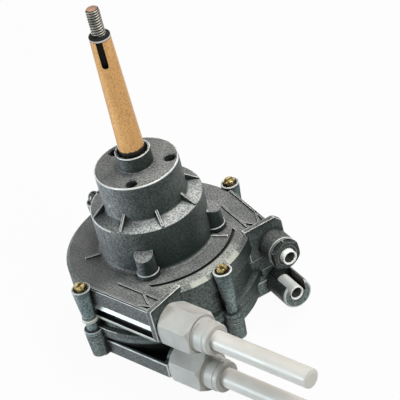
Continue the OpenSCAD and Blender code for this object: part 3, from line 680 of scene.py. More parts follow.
def shade_by_place(tree):
    """The walls' shade on upright faces, turning into the tops' shade on level ones."""
    where = axes(tree, "Object")
    faces = axes(tree, "Normal")
    upward = remap(tree, faces["Z"], 0.5, 0.9)
    return blend_colours(tree, upward, wall_shade(tree, where, faces), top_shade(tree, where))


print("the disc's rim is rubbed from radius", HIGHLIT_FROM, "mm")

# %% Casting finish
def casting_finish(name, dark, light, worn, crease_shade=0.12, by_place=True):
    """Mottled, finely pitted cast skin with painted shade in its creases and by place, and bright edges that
    are partly wear and partly painted highlight.
    """
    finish, tree, shader = new_finish(name, 0.5, metallic=0.08, gloss=0.3)
    skin = ramp(tree, grain(tree, 60), [(0.34, dark), (0.66, light)])
    low, high = (0.36, 1.2) if by_place else (0.86, 1.0)
    speckle = greys(tree, grain(tree, 750), (0.36, low), (0.62, high))
    skin = blend_colours(tree, 1.0, skin, speckle, "MULTIPLY")
    # By place, the skin takes the painted shade, and the bright edge mark takes some of it.
    if by_place:
        shade = shade_by_place(tree)
        skin = blend_colours(tree, 1.0, skin, shade, "MULTIPLY")
        worn = blend_colours(tree, 0.3, worn, shade, "MULTIPLY")
    skin = paint_crease_shade(tree, skin, 7.0, crease_shade)
    edge = tree.nodes.new("ShaderNodeAttribute")
    edge.attribute_name = "worn"
    patchy = reckon(tree, "MULTIPLY", edge.outputs["Fac"], spread(tree, grain(tree, 90, 2), 0.45, 1.0))
    tree.links.new(blend_colours(tree, patchy, skin, worn), shader.inputs["Base Color"])
    tree.links.new(spread(tree, grain(tree, 160), 0.42, 0.6), shader.inputs["Roughness"])
    bump(tree, shader, grain(tree, 800, 4), 0.6, 0.25)
    return finish


# Both skins take the painted shade by place. The rear skin is paler, which paints light into the rear cover's
# shaded walls.
front_skin = casting_finish(
    "front_cast_skin", (0.205, 0.212, 0.212), (0.335, 0.338, 0.33), (0.86, 0.86, 0.84))
rear_skin = casting_finish("rear_cast_skin", (0.34, 0.37, 0.365), (0.5, 0.53, 0.52), (0.9, 0.9, 0.9))
print("casting finishes", front_skin.name, rear_skin.name)

# %% [markdown]
# ## The front casting
# The hub, the step, the gear case, the disc, the front band, the waist and the seam flange are one
# round body, so they are one outline spun about the shaft's axis, with the foundry's fillets drawn
# into it. It is a hollow shell, because the gears turn inside. Heights are millimetres above the
# mounting face, so most of them are negative.

# %% Round body of the front casting
DISC_Z = -68.0
SEAM_Z = -107.0
BAND_R = 69.8
WAIST_R = 66.6
CAVITY_R, CAVITY_TOP = 62.8, DISC_Z - 5
SEAM_R = 71.0
STEP_R, STEP_TOP, STEP_EDGE = 42.1, -29, -32.4
HUB_R = 31.3
PILOT_R, PILOT_TOP = 13.0, 12.3
BORE_R = 11.475
SLEEVE_R, SLEEVE_END = 15.1, -44
WALL = 4.6
HUB_ROOF, STEP_ROOF = -14, -37

round_body = turned("round_body", [
    (BORE_R, PILOT_TOP, 0.3), (PILOT_R, PILOT_TOP, 0.6), (PILOT_R, 0, 1.2), (HUB_R, 0, 0.9),
    (HUB_R, STEP_TOP, 2.6), (STEP_R, STEP_EDGE, 1.1), (STEP_R, DISC_Z, 3.2), (BAND_R - 3, DISC_Z, 0.9),
    (BAND_R, DISC_Z - 3, 0.9), (BAND_R, DISC_Z - 16, 0.8), (WAIST_R, DISC_Z - 18, 1),
    (WAIST_R, SEAM_Z + 4.5, 1), (SEAM_R, SEAM_Z + 3.5, 0.5), (SEAM_R, SEAM_Z, 0.3), (CAVITY_R, SEAM_Z, 0),
    (CAVITY_R, CAVITY_TOP, 2), (STEP_R - WALL, CAVITY_TOP, 1), (STEP_R - WALL, STEP_ROOF, 2),
    (HUB_R - WALL, STEP_ROOF, 1), (HUB_R - WALL, HUB_ROOF, 2), (SLEEVE_R, HUB_ROOF, 1),
    (SLEEVE_R, SLEEVE_END, 0), (BORE_R, SLEEVE_END, 0),
], steps=FINE_STEPS)
print("round body faces", len(round_body.data.polygons))

# %% [markdown]
# Three threaded holes in the hub's top take the mounting screws, and a groove runs round the disc
# between the arms. Both are cut out with Boolean modifiers, the holes with a drill's pointed shape,
# and the groove with a ring that is spun only part of the way round.

# %% Mounting holes and disc groove
LUG_ANGLES = (-48, 48, 180)
HOLE_CIRCLE_R, HOLE_R, HOLE_MOUTH_R = 24.7, 4.25, 5.3
GROOVE_IN, GROOVE_OUT, GROOVE_DEPTH = 56.8, 59.4, 1.3
GROOVE_SWEEP = math.radians(96)
hole = turned("hole", [
    (0, -11.9, 0), (1, -11.9, 0), (HOLE_R, -10, 0), (HOLE_R, -1, 0), (HOLE_MOUTH_R, 0.05, 0),
    (HOLE_MOUTH_R, 2, 0), (0, 2, 0),
], steps=40)
put(hole, at=(HOLE_CIRCLE_R, 0, 0))
groove = turned(
    "groove", sleeve(GROOVE_IN, GROOVE_OUT, DISC_Z - GROOVE_DEPTH, DISC_Z + 2), steps=64, turn=GROOVE_SWEEP)
put(groove, GROOVE_SWEEP / 2)
cut(round_body, *ring_of(hole, LUG_ANGLES), groove)
print("round body with holes, faces", len(round_body.data.polygons))

# %% [markdown]
# Thin gussets stand on the sloping step, and three blind lugs stand against the gear case on wider
# pads. One of each is modelled and copied round the axis. A lug's top slopes outwards, so a sloping
# cutter slices it off. Low ribs run out over the disc.

# %% Gussets, lugs and disc ribs
CUT_EDGE = math.radians(40)


def ease_cut_edges(piece, width):
    """Bevels the sharp edges that a cut leaves."""
    take(piece)
    bevel = piece.modifiers.new("ease", "BEVEL")
    bevel.width = width * MM
    bevel.segments = BEVEL_STEPS
    bevel.limit_method = "ANGLE"
    bevel.angle_limit = CUT_EDGE
    bpy.ops.object.modifier_apply(modifier=bevel.name)
    return piece


GUSSET_HALF = 1.0
GUSSET_ANGLES = [22.5 + 45 * k for k in range(8)]
PAD_R, PAD_TOP = 8.4, DISC_Z + 4
LUG_TOP, LUG_SLOPE = DISC_Z + 20, math.radians(24)
gusset = plate("gusset", [
    (HUB_R - 1.5, STEP_EDGE - 1.1, 0), (STEP_R - 0.4, STEP_EDGE - 1.1, 0),
    (STEP_R - 0.4, STEP_EDGE + 1.2, 0.5), (HUB_R - 1.5, STEP_TOP + 7.3, 0),
], -GUSSET_HALF, GUSSET_HALF, 0.5)
put(gusset, tip=(QUARTER, 0))
gussets = ring_of(gusset, GUSSET_ANGLES)
lug = turned("lug", [
    (0, DISC_Z - 1, 0), (PAD_R, DISC_Z - 1, 0), (PAD_R, PAD_TOP, 0.9), (PAD_R - 1, PAD_TOP, 0.9),
    (7.0, LUG_TOP, 1.0), (0, LUG_TOP, 0),
], steps=48)
put(lug, at=(STEP_R + 1.6, 0, 0))
slope = block("slope", (-20, -20, 0), (30, 20, 20), 0)
cut(lug, put(slope, tip=(0, LUG_SLOPE), at=(STEP_R - 1, 0, LUG_TOP + 0.4)))
ease_cut_edges(lug, 0.5)
lugs = [hollow(one, STEP_R - 0.6, DISC_Z - 2, DISC_Z + 24, SPIN_STEPS) for one in ring_of(lug, LUG_ANGLES)]
disc_rib = block("disc_rib", (STEP_R - 1, -1, DISC_Z - 1), (55.5, 1, DISC_Z + 1.4), 0.5)
disc_ribs = ring_of(disc_rib, (-118, 33, 118))
print("gussets", len(gussets), "lugs", len(lugs), "ribs", len(disc_ribs))

# %% [markdown]
# The two arms leave the disc along straight lines, each leaning a few degrees inwards. A piece of an
# arm is modelled in the arm's own frame, with x along it and y outwards, and then turned. The tube
# arm lies on the other side, so its y is negated. A section is drawn as y and z and runs along x.

# %% Arm helpers
ARM_OUTER = 69.3
ARM_ROOT_X, ARM_ROOT_Y = -8, 46.1
ARMS = {"tube": (-1, math.radians(7.5)), "inlet": (1, math.radians(-11))}


def arm_block(side, name, low, high, edge=0.6):
    """A bevelled block in an arm's own frame."""
    sign, turn = ARMS[side]
    ys = sorted((sign * low[1], sign * high[1]))
    return put(block(name, (low[0], ys[0], low[2]), (high[0], ys[1], high[2]), edge), turn)


def arm_plate(side, name, corners, low, high, edge=0.5):
    """An outline seen from above, raised between two heights."""
    sign, turn = ARMS[side]
    return put(plate(name, [(x, sign * y, r) for x, y, r in corners], low, high, edge), turn)


def arm_section(side, name, corners, start, end, edge=0.5):
    """An outline of (y, z, rounding) across an arm, drawn out along it."""
    sign, turn = ARMS[side]
    piece = plate(name, [(sign * y, z, r) for y, z, r in corners], start, end, edge)
    return put(piece, QUARTER + turn, tip=(QUARTER, 0))


def arm_round(side, name, corners, offset, z, steps=64):
    """A turned piece that lies along an arm, its outline's heights measured along the arm."""
    sign, turn = ARMS[side]
    piece = turned(name, corners, steps)
    return put(put(piece, tip=(0, QUARTER), at=(0, sign * offset, z)), turn)


print("arms", list(ARMS))

# %% [markdown]
# Each arm is a block with an end flange, a lip along its outer edge, a long rib, and slanting braces
# that meet the flange. The flange's outer corner is cut off more on the inlet arm.

# %% Arms of the front casting
ARM_LOW, LIP_TOP = DISC_Z - 27, DISC_Z + 1.6
RIB_TOP = LIP_TOP - 0.2
FLANGE = 4.6
BRACE_HALF = 0.75


def front_arm(side, length, inner, outer, corner, rib_start, rib_offset, brace_lines):
    """The shells of one arm, its body first.

    The flange spans from inner to outer, with its corner cut off. A brace line is two points on top.
    """
    body = arm_block(
        side, "arm", (ARM_ROOT_X, ARM_ROOT_Y, ARM_LOW), (length - 0.6, ARM_OUTER, DISC_Z + 0.03), 0.7)
    hollow(body, CAVITY_R, SEAM_Z - 1, CAVITY_TOP)
    flange = arm_section(side, "flange", [
        (inner, ARM_LOW + 0.5, 0.8), (outer, ARM_LOW + 0.5, 1.5), (outer, LIP_TOP - corner, corner * 0.6),
        (outer - corner, LIP_TOP, corner * 0.6), (inner, LIP_TOP, 0.8),
    ], length - FLANGE, length, 0.6)
    lip = arm_block(
        side, "lip", (-6, ARM_OUTER - 2, DISC_Z - 1), (length - 1, ARM_OUTER - 0.3, RIB_TOP), 0.3)
    rib = arm_block(
        side, "rib", (rib_start, rib_offset - 1.7, DISC_Z - 1), (length - 1, rib_offset, RIB_TOP), 0.25)
    braces = []
    for start, end in brace_lines:
        start, end = Vector(start), Vector(end)
        aside = (end - start).orthogonal().normalized() * BRACE_HALF
        corners = [(*(start - aside), 0), (*(end - aside), 0), (*(end + aside), 0), (*(start + aside), 0)]
        braces.append(arm_plate(side, "brace", corners, DISC_Z - 1, RIB_TOP, 0.25))
    return [body, flange, lip, rib, *braces]


TUBE_ARM, INLET_ARM = 57, 48
tube_arm = front_arm("tube", TUBE_ARM, 36.7, ARM_OUTER + 0.8, 1.2, 11.8, 56, [
    ((36.5, 55), (47.5, 62)), ((47.5, 62), (53.5, 63.2)), ((39.5, 68), (53.5, 63.2)),
])
inlet_arm = front_arm("inlet", INLET_ARM, 47.9, 79.4, 5, 5.4, 55, [
    ((34.5, 54.5), (46, 62)), ((30, 68.5), (44.5, 63)),
])
skirt = arm_block("inlet", "skirt", (10, ARM_ROOT_Y, SEAM_Z + 0.5), (46.8, ARM_OUTER - 1, ARM_LOW + 1), 0.8)
inlet_arm.append(hollow(skirt, CAVITY_R, SEAM_Z - 1, CAVITY_TOP))
print("arm shells", len(tube_arm) + len(inlet_arm))

# %% [markdown]
# The outer wall of the tube arm has a long pocket with a sloping floor, which catches the light, a
# recess below it painted dark as shade, and a thin bar along the bottom. The pocket runs into the
# round wall, so the same cutters go through the arm and the round body. The pocket's milled floor is
# painted near white as a painted glint, and the bar is brightened as rubbed wear and painted
# highlight, so each is a strip of its own. The bar's end is rounded about the corner screw.

# %% Strips in the tube arm's wall
SCREW_R = 74
STRIP_START, STRIP_END = -11.5, TUBE_ARM - 5.6
STRIP_IN, STRIP_OUT = 66.1, 68.8
STRIP_TOP, STRIP_LOW, BAR_TOP = -81.9, -87.0, -93.4
POCKET_BACK, POCKET_FRONT = 65.8, 72
for shell in (tube_arm[0], round_body):
    pocket = arm_section("tube", "pocket", [
        (STRIP_IN - 0.1, STRIP_TOP + 0.2, 0), (STRIP_OUT - 0.1, STRIP_LOW + 0.1, 0),
        (POCKET_BACK, STRIP_LOW - 0.1, 0), (POCKET_BACK, BAR_TOP + 0.1, 0),
        (POCKET_FRONT, BAR_TOP + 0.1, 0), (POCKET_FRONT, STRIP_TOP + 0.5, 0),
    ], STRIP_START - 1, STRIP_END, 0)
    cut(shell, pocket)
ease_cut_edges(tube_arm[0], 0.35)
ledge = arm_section("tube", "ledge", [
    (STRIP_IN, STRIP_TOP, 0), (STRIP_OUT, STRIP_LOW, 0), (STRIP_OUT - 0.8, STRIP_LOW - 0.1, 0),
    (STRIP_IN - 0.8, STRIP_TOP - 0.4, 0),
], STRIP_START, STRIP_END - 0.3, 0)
bar = arm_block("tube", "bar", (-14, 65.4, ARM_LOW - 1), (STRIP_END + 1, ARM_OUTER + 0.2, BAR_TOP), 0.5)
bar_end = turned("bar_end", sleeve(0, 6.1, ARM_LOW - 1, BAR_TOP, 0.5, 0.5), steps=48)
put(bar_end, at=(0, -SCREW_R, 0))
bar = join("bar", [bar, bar_end])
print("tube arm faces", len(tube_arm[0].data.polygons))

# %% [markdown]
# Four corner bosses carry the casing screws: each is a tapered cup with a shallow counterbore, on a
# slim column with an ear at the seam and a web to the waist. The inlet's round boss and the tube's
# spigot stand on the flanges.

# %% Bosses of the front casting
UPPER_Z = DISC_Z - 18.7
LOWER_Z = UPPER_Z - 35.5
TUBE_OFFSET, INLET_OFFSET = 53.7, 68.0
HEAD_Z, CUP_TOP = DISC_Z + 0.4, DISC_Z + 1.8
COUNTERBORE_R = 5.62
PORT_R, NIPPLE_BORE_R, INLET_BOSS_END = 11.8, 5.65, 63
SPIGOT_R, SPIGOT_BORE_R, SPIGOT_END = 10, 7.35, 77
CORNERS = (0, 90, 180, 270)
cup = turned("cup", [
    (0, DISC_Z - 23, 0), (5.2, DISC_Z - 23, 0.6), (7.2, CUP_TOP, 0.7), (COUNTERBORE_R, CUP_TOP, 0.3),
    (COUNTERBORE_R, HEAD_Z, 0), (0, HEAD_Z, 0),
], steps=48)
column = turned("column", sleeve(0, 4.4, SEAM_Z, DISC_Z - 22), steps=40)
ear = turned("ear", sleeve(0, 7.0, SEAM_Z, SEAM_Z + 3.1, 0.3, 0.5), steps=48)
web = block("web", (WAIST_R - SCREW_R - 1, -2, SEAM_Z + 1), (0, 2, DISC_Z - 21), 0.5)
boss = join("boss", [cup, column, ear, web])
bosses = ring_of(put(boss, at=(SCREW_R, 0, 0)), CORNERS)
inlet_outline = sleeve(NIPPLE_BORE_R, PORT_R, INLET_ARM - FLANGE, INLET_BOSS_END, 0, 1.2)
inlet_boss = arm_round("inlet", "inlet_boss", inlet_outline, INLET_OFFSET, UPPER_Z)
spigot_outline = sleeve(SPIGOT_BORE_R, SPIGOT_R, TUBE_ARM - FLANGE, SPIGOT_END, 0, 0.8)
spigot = arm_round("tube", "spigot", spigot_outline, TUBE_OFFSET, UPPER_Z)
print("bosses", len(bosses))

# %% [markdown]
# The shells overlap like the lumps of a foundry pattern, so they are joined into one object. The
# milled strip takes a near-white painted glint, the bar and two places on the rim a brighter skin that
# is partly rubbed wear and partly painted highlight, the pilot boss a darker one as painted shade,
# and the corner bosses a paler one as painted light.

# %% Finishes of the front casting
# The strip's near-white skin is a painted glint on the pocket's milled floor.
milled_glint_skin = casting_finish(
    "milled_glint_strip_skin", (0.9, 0.91, 0.9), (0.97, 0.97, 0.96), (0.97, 0.97, 0.97), 1.0, False)
# This brighter skin is partly rubbed wear and partly a painted highlight.
rubbed_highlight_skin = casting_finish(
    "rubbed_highlight_skin", (0.34, 0.345, 0.305), (0.52, 0.52, 0.46), (0.95, 0.95, 0.92), 1.0, False)
# The pilot boss is painted darker, as painted shade.
pilot_shade_skin = casting_finish("pilot_shade_skin", (0.1, 0.106, 0.106), (0.16, 0.165, 0.162), (1.0, 1.0, 0.98))
# The corner boss columns are painted paler, as painted light.
boss_light_skin = casting_finish("boss_light_skin", (0.39, 0.45, 0.47), (0.62, 0.69, 0.71), (0.85, 0.85, 0.85))
# A near-black skin that paints shade into grooves, hollows and recesses.
painted_shade_skin = casting_finish("painted_shade_skin", (0.012, 0.013, 0.012), (0.03, 0.03, 0.028), (0.03, 0.03, 0.03))
FRONT_FINISHES = [front_skin, milled_glint_skin, rubbed_highlight_skin, painted_shade_skin, pilot_shade_skin, boss_light_skin]
SKIN, MILLED_GLINT, RUBBED_HIGHLIGHT, PAINTED_SHADE, PILOT_SHADE, BOSS_LIGHT = range(len(FRONT_FINISHES))
print("front casting's finishes", [finish.name for finish in FRONT_FINISHES])

# %% Front casting joined
shells = [round_body, *gussets, *lugs, *disc_ribs, *tube_arm, *inlet_arm, *bosses, inlet_boss, spigot]
for shell in shells:
    shell.data.materials.append(front_skin)
ledge.data.materials.append(milled_glint_skin)
bar.data.materials.append(rubbed_highlight_skin)
front = join("front_casting_cast", [*shells, ledge, bar])
strip_finishes = [face.material_index for face in front.data.polygons]
print("faces of the strip", strip_finishes.count(MILLED_GLINT), "and of the bar", strip_finishes.count(RUBBED_HIGHLIGHT))

# %% [markdown]
# A painter would mask off the places that take another finish. Here a zone function looks at where a
# face lies and how it slopes, and gives the number of its finish. A near-black painted shade fills the
# disc's groove, the hollows round the screw heads, the pocket's back wall, the sides of the ribs and
# the pilot's bore. A few edges that show no highlight are left without the bright edge mark.

# %% Zones of the front casting
BOSS_REACH = 8.2
RIB_START_R = 57


def from_screw(middle):
    """The distance from the nearest corner screw's axis."""
    return min(math.hypot(abs(middle.x) - x, abs(middle.y) - y) for x, y in ((SCREW_R, 0), (0, SCREW_R)))


def in_arm(side, middle):
    """A place in an arm's own frame, with y outwards."""
    sign, turn = ARMS[side]
    x, y, z = Matrix.Rotation(-turn, 3, "Z") @ middle
    return x, sign * y, z


def in_painted_shade(middle, normal):
    """Whether a place takes painted shade: in the groove, round a screw head, behind the strip or beside a
    rib.
    """
    r, z, gap = math.hypot(middle.x, middle.y), middle.z, from_screw(middle)
    across_groove = GROOVE_IN - 0.2 < r < GROOVE_OUT + 0.2
    in_groove = across_groove and DISC_Z - GROOVE_DEPTH - 0.1 < z < DISC_Z - 0.05
    round_head = gap < COUNTERBORE_R + 0.08 and HEAD_Z - 0.1 < z < HEAD_Z + 1.2
    along, out, _ = in_arm("tube", middle)
    in_pocket = STRIP_START - 2 < along < STRIP_END and POCKET_BACK - 0.2 < out < STRIP_OUT + 0.1
    behind_strip = in_pocket and BAR_TOP < z < STRIP_LOW + 0.05
    on_rib = abs(middle.y) > 5 and z > DISC_Z + 0.05 and r > RIB_START_R and gap > BOSS_REACH
    return in_groove or round_head or behind_strip or (on_rib and abs(normal.z) < 0.4)


def front_zone(face):
    """The number of the finish that a face of the front casting takes."""
    if strip_finishes[face.index]:
        return strip_finishes[face.index]
    middle, normal = face.center / MM, face.normal
    r = math.hypot(middle.x, middle.y)
    # The pilot boss takes its painted shade, and its bore the near-black painted shade.
    if middle.z > 0.6:
        return PAINTED_SHADE if r < BORE_R + 0.1 else PILOT_SHADE
    angle = abs(math.degrees(math.atan2(middle.y, middle.x)))
    # Two rim facets take the brighter skin: rubbed wear and a painted highlight.
    on_rim = BAND_R - 2.9 < r < BAND_R - 0.1 and DISC_Z - 3 < middle.z < DISC_Z
    if on_rim and 9 < angle < 20 and 0.4 < normal.z < 0.9:
        return RUBBED_HIGHLIGHT
    # Grooves, screw hollows, the pocket's back and rib sides take the near-black painted shade.
    if in_painted_shade(middle, normal):
        return PAINTED_SHADE
    # The sides of the corner bosses take the paler skin, as painted light.
    return BOSS_LIGHT if from_screw(middle) < BOSS_REACH and r > SEAM_R and normal.z < 0.5 else SKIN


def kept_dull(middle):
    """Picks out the mounting holes' chamfers, the step's front rim and the front of the seam."""
    r = math.hypot(middle.x, middle.y)
    by_hole = middle.z > -2 and PILOT_R + 2 < r < HOLE_CIRCLE_R + 5.5
    on_step_rim = STEP_EDGE - 2.1 < middle.z < STEP_EDGE + 1.4 and abs(r - STEP_R) < 2 and middle.x > 8
    by_seam = middle.z < ARM_LOW and middle.x > 20
    return by_hole or on_step_rim or by_seam


print("worn faces", mark_worn_and_highlit_edges(front, spare=kept_dull))
dress(front, "housing", ["front_casting"], FRONT_FINISHES, zone=front_zone)

# %% [markdown]
# ## The rear cover
# The cover is a shallow cup with the lower pair of arms. The tube arm is open above, as a pit with
# thin walls. Each arm is cleared of the cup's round space before it is joined, because a cut through
# several shells at once can go wrong.

# %% Rear cover
COVER_Z = -112.0
COVER_FLOOR = -130.0
COVER_INSIDE = COVER_FLOOR + 3.2
COVER_R, REAR_CAVITY_R = 67, 63.8
REAR_HUB_R, REAR_BORE_R, REAR_HUB_END = 17.95, 12.95, COVER_FLOOR - 9
rear_cup = turned("rear_cup", [
    (COVER_R, COVER_Z, 0.4), (COVER_R, COVER_FLOOR + 4, 1), (COVER_R - 4, COVER_FLOOR, 1),
    (REAR_HUB_R, COVER_FLOOR, 1.2), (REAR_HUB_R, REAR_HUB_END, 0.9), (REAR_BORE_R, REAR_HUB_END, 0.4),
    (REAR_BORE_R, COVER_INSIDE, 0), (REAR_CAVITY_R, COVER_INSIDE, 1.5), (REAR_CAVITY_R, COVER_Z, 0),
], steps=FINE_STEPS)


def cleared(piece):
    """Clears the cover's round space out of a shell."""
    return hollow(piece, REAR_CAVITY_R, COVER_INSIDE, COVER_Z + 1)


ARM_UNDER, ARM_OVER = COVER_FLOOR + 0.6, COVER_Z - 5
PIT_START, PIT_INNER, PIT_WALL, PIT_FLOOR = -4, 40, 2.3, ARM_UNDER + 4
lower_tube_arm = cleared(arm_block(
    "tube", "lower_tube_arm", (ARM_ROOT_X, ARM_ROOT_Y, ARM_UNDER), (TUBE_ARM, ARM_OUTER, ARM_OVER), 0.8))
cut(lower_tube_arm, arm_block(
    "tube", "pit", (PIT_START, PIT_INNER, PIT_FLOOR),
    (TUBE_ARM - FLANGE, ARM_OUTER - PIT_WALL, ARM_OVER + 5), 0))
ease_cut_edges(lower_tube_arm, 0.35)
lower_inlet_arm = cleared(arm_block(
    "inlet", "lower_inlet_arm", (ARM_ROOT_X, ARM_ROOT_Y, ARM_UNDER),
    (INLET_ARM - 2, INLET_OFFSET, ARM_OVER), 0.8))
shoulder = arm_block(
    "inlet", "shoulder", (10, ARM_ROOT_Y, COVER_Z - 6),
    (INLET_ARM - 3, INLET_OFFSET - 1.5, SEAM_Z - 0.5), 0.8)
hollow(shoulder, SEAM_R + 0.4, COVER_Z - 1, SEAM_Z)
print("rear cup faces", len(rear_cup.data.polygons))

# %% [markdown]
# On the inlet side the port is an open cradle. It is turned, bored for its nipple, and slotted from
# above so that the nipple can be seen and pressed in. Its cut edges are eased like the rest of the
# casting. The corner bosses taper towards the back. A near-black painted shade lies in the pit and in
# the cradle's slot.

# %% Cradle and corners
CRADLE_END, CRADLE_BORE_R, SLOT_HALF = 71, 5.62, 7.1
cradle_outline = sleeve(0, PORT_R, INLET_ARM - 8, CRADLE_END, 0, 1.4)
cradle = arm_round("inlet", "cradle", cradle_outline, INLET_OFFSET, LOWER_Z)
bore_outline = sleeve(0, CRADLE_BORE_R, INLET_ARM - 2, 80)
nipple_bore = arm_round("inlet", "nipple_bore", bore_outline, INLET_OFFSET, LOWER_Z, 48)
slot_space = arm_block(
    "inlet", "slot_space", (INLET_ARM + 2, INLET_OFFSET - SLOT_HALF, LOWER_Z),
    (80, INLET_OFFSET + SLOT_HALF, LOWER_Z + 25), 0)
ease_cut_edges(cut(cradle, nipple_bore, slot_space), 0.4)
lower_outline = sleeve(SPIGOT_BORE_R, SPIGOT_R, TUBE_ARM - 6, SPIGOT_END, 0, 0.8)
lower_spigot = arm_round("tube", "lower_spigot", lower_outline, TUBE_OFFSET, LOWER_Z)
corner = turned("corner", [
    (0, COVER_FLOOR + 2, 0), (5.8, COVER_FLOOR + 2, 0.9), (6.8, COVER_Z, 0.3), (0, COVER_Z, 0),
], steps=48)
corners = ring_of(put(corner, at=(SCREW_R, 0, 0)), CORNERS)
corner_web = block("corner_web", (60, -5.7, COVER_FLOOR + 1), (SCREW_R, 5.7, COVER_Z - 0.05), 0.6)
webs = [cleared(one) for one in ring_of(corner_web, CORNERS)]
print("cover's corners", len(corners), "with webs", len(webs))

# %% Rear cover joined
rear = join("rear_cover_cast", [
    rear_cup, lower_tube_arm, lower_inlet_arm, shoulder, lower_spigot, cradle, *corners, *webs,
])


def rear_zone(face):
    """Painted shade in the pit of the tube arm and in the cradle's slot, and the cast skin elsewhere."""
    along, out, z = in_arm("tube", face.center / MM)
    across_pit = PIT_INNER < out < ARM_OUTER - PIT_WALL + 0.2 and PIT_FLOOR - 0.5 < z < ARM_OVER - 0.5
    in_pit = across_pit and PIT_START - 3 < along < TUBE_ARM - FLANGE + 0.2
    along, out, z = in_arm("inlet", face.center / MM)
    across_slot = abs(out - INLET_OFFSET) < SLOT_HALF + 0.1 and z > LOWER_Z - CRADLE_BORE_R - 0.18
    in_slot = across_slot and INLET_ARM + 1.5 < along < CRADLE_END - 0.6
    return 1 if in_pit or in_slot else 0


print("worn faces", mark_worn_and_highlit_edges(rear))
dress(rear, "housing", ["rear_cover"], [rear_skin, painted_shade_skin], zone=rear_zone)

# %% [markdown]
# ## Plated metals
# Zinc plating has a thin rainbow bloom and turning marks, so its colour wanders between two tones in
# bands along the axis. Bare steel and bronze get the same recipe in their own colours. The shaft's foot
# is blackened up to a ragged line.

# %% Metal finish
def metal_finish(name, dark, light, roughness, metallic, stretch=(1, 1, 1), scale=90, specks=None):
    """A metal whose colour and gloss wander between two tones, with dark specks where asked."""
    finish, tree, shader = new_finish(name, roughness, metallic)
    tone = ramp(tree, grain(tree, scale, 4, stretch), [(0.35, dark), (0.65, light)])
    if specks:
        spots = ramp(tree, grain(tree, 850, 2), [(0.3, specks), (0.55, (1, 1, 1))])
        tone = blend_colours(tree, 1.0, tone, spots, "MULTIPLY")
    tree.links.new(tone, shader.inputs["Base Color"])
    gloss = spread(tree, grain(tree, 3 * scale, 2, stretch), roughness - 0.07, roughness + 0.1)
    tree.links.new(gloss, shader.inputs["Roughness"])
    bump(tree, shader, grain(tree, 12 * scale, 2, stretch), 0.12, 0.1)
    return finish


def blacken_below(finish, height, ragged):
    """Blackens a finish below a height in millimetres, with a ragged edge."""
    tree = finish.node_tree
    shader = tree.nodes["Principled BSDF"]
    level = reckon(tree, "MULTIPLY_ADD", grain(tree, 420, 2), ragged * MM, axes(tree, "Object")["Z"])
    edge = height + ragged / 2
    plated = shader.inputs["Base Color"].links[0].from_socket
    blackened = blend_colours(tree, between(tree, level, edge, edge + 0.6), (0.012, 0.01, 0.008), plated)
    tree.links.new(blackened, shader.inputs["Base Color"])


BLACKENED_TOP, BLACKENED_RAGGED = 15.4, 2.4
gold_zinc = metal_finish(
    "gold_zinc_plate", (0.58, 0.31, 0.105), (0.72, 0.40, 0.155), 0.38, 0.45, (1, 1, 7),
    specks=(0.66, 0.6, 0.52))
blacken_below(gold_zinc, BLACKENED_TOP, BLACKENED_RAGGED)
band_chrome = metal_finish("bright_band", (0.45, 0.43, 0.41), (0.75, 0.72, 0.69), 0.2, 0.9)
thread_steel = metal_finish("thread_steel", (0.13, 0.125, 0.11), (0.34, 0.32, 0.28), 0.32, 0.85)
copper_end = metal_finish("coppery_end", (0.2, 0.105, 0.06), (0.42, 0.24, 0.15), 0.4, 0.5)
brass_zinc = metal_finish("yellow_zinc_head", (0.04, 0.024, 0.01), (0.72, 0.57, 0.25), 0.2, 0.85, scale=330)
dark_head = metal_finish("dark_screw_head", (0.03, 0.032, 0.03), (0.08, 0.08, 0.075), 0.3, 0.6)
gear_steel = metal_finish("gear_steel", (0.28, 0.29, 0.3), (0.44, 0.45, 0.46), 0.34, 0.9)
bush_bronze = metal_finish("bush_bronze", (0.35, 0.2, 0.08), (0.5, 0.31, 0.14), 0.38, 0.85)
wheel_alloy = metal_finish("wheel_alloy", (0.42, 0.42, 0.41), (0.58, 0.58, 0.57), 0.42, 0.8)
print("the shaft is greasy up to about", BLACKENED_TOP, "mm, finishes so far", len(bpy.data.materials))

# %% [markdown]
# ## Plastic, rubber and gasket
# The nuts and tubes are natural polyethylene, which looks milky because light goes a little way in.
# The seal is black rubber, and the gaskets are dark fibre sheet.

# %% Plastic, rubber and gasket finishes
def soft_finish(name, dark, light, roughness, scale, glow=0.0, pits=0.12, crease_shade=0.3):
    """A non-metal with wandering tone, painted shade in its creases and a fine relief."""
    finish, tree, shader = new_finish(name, roughness, gloss=0.4)
    shader.inputs["Subsurface Weight"].default_value = glow
    shader.inputs["Subsurface Radius"].default_value = (0.03, 0.03, 0.026)
    tone = ramp(tree, grain(tree, scale, 4), [(0.34, dark), (0.66, light)])
    tree.links.new(paint_crease_shade(tree, tone, 6.0, crease_shade), shader.inputs["Base Color"])
    gloss = spread(tree, grain(tree, 2 * scale), roughness - 0.06, roughness + 0.1)
    tree.links.new(gloss, shader.inputs["Roughness"])
    bump(tree, shader, grain(tree, 8 * scale), pits, 0.2)
    return finish


nut_plastic = soft_finish("milky_nut_plastic", (0.40, 0.385, 0.365), (0.505, 0.485, 0.46), 0.42, 60, 0.8)
tube_plastic = soft_finish("milky_tube_plastic", (0.565, 0.535, 0.5), (0.635, 0.605, 0.57), 0.34, 45, 0.3)
black_rubber = soft_finish("seal_rubber", (0.012, 0.012, 0.012), (0.03, 0.03, 0.028), 0.5, 120)
gasket_fibre = soft_finish("gasket_fibre", (0.02, 0.021, 0.022), (0.055, 0.055, 0.052), 0.75, 200, pits=0.4)
# A black finish: painted shade in the thread's roots, and the black of the keyway and the band.
black_and_shade = soft_finish("black_and_shade", (0.004, 0.004, 0.004), (0.014, 0.014, 0.013), 0.6, 150)
black_and_shade.node_tree.nodes["Principled BSDF"].inputs["Specular IOR Level"].default_value = 0.12
print("soft finishes", nut_plastic.name, tube_plastic.name, black_rubber.name, gasket_fibre.name)

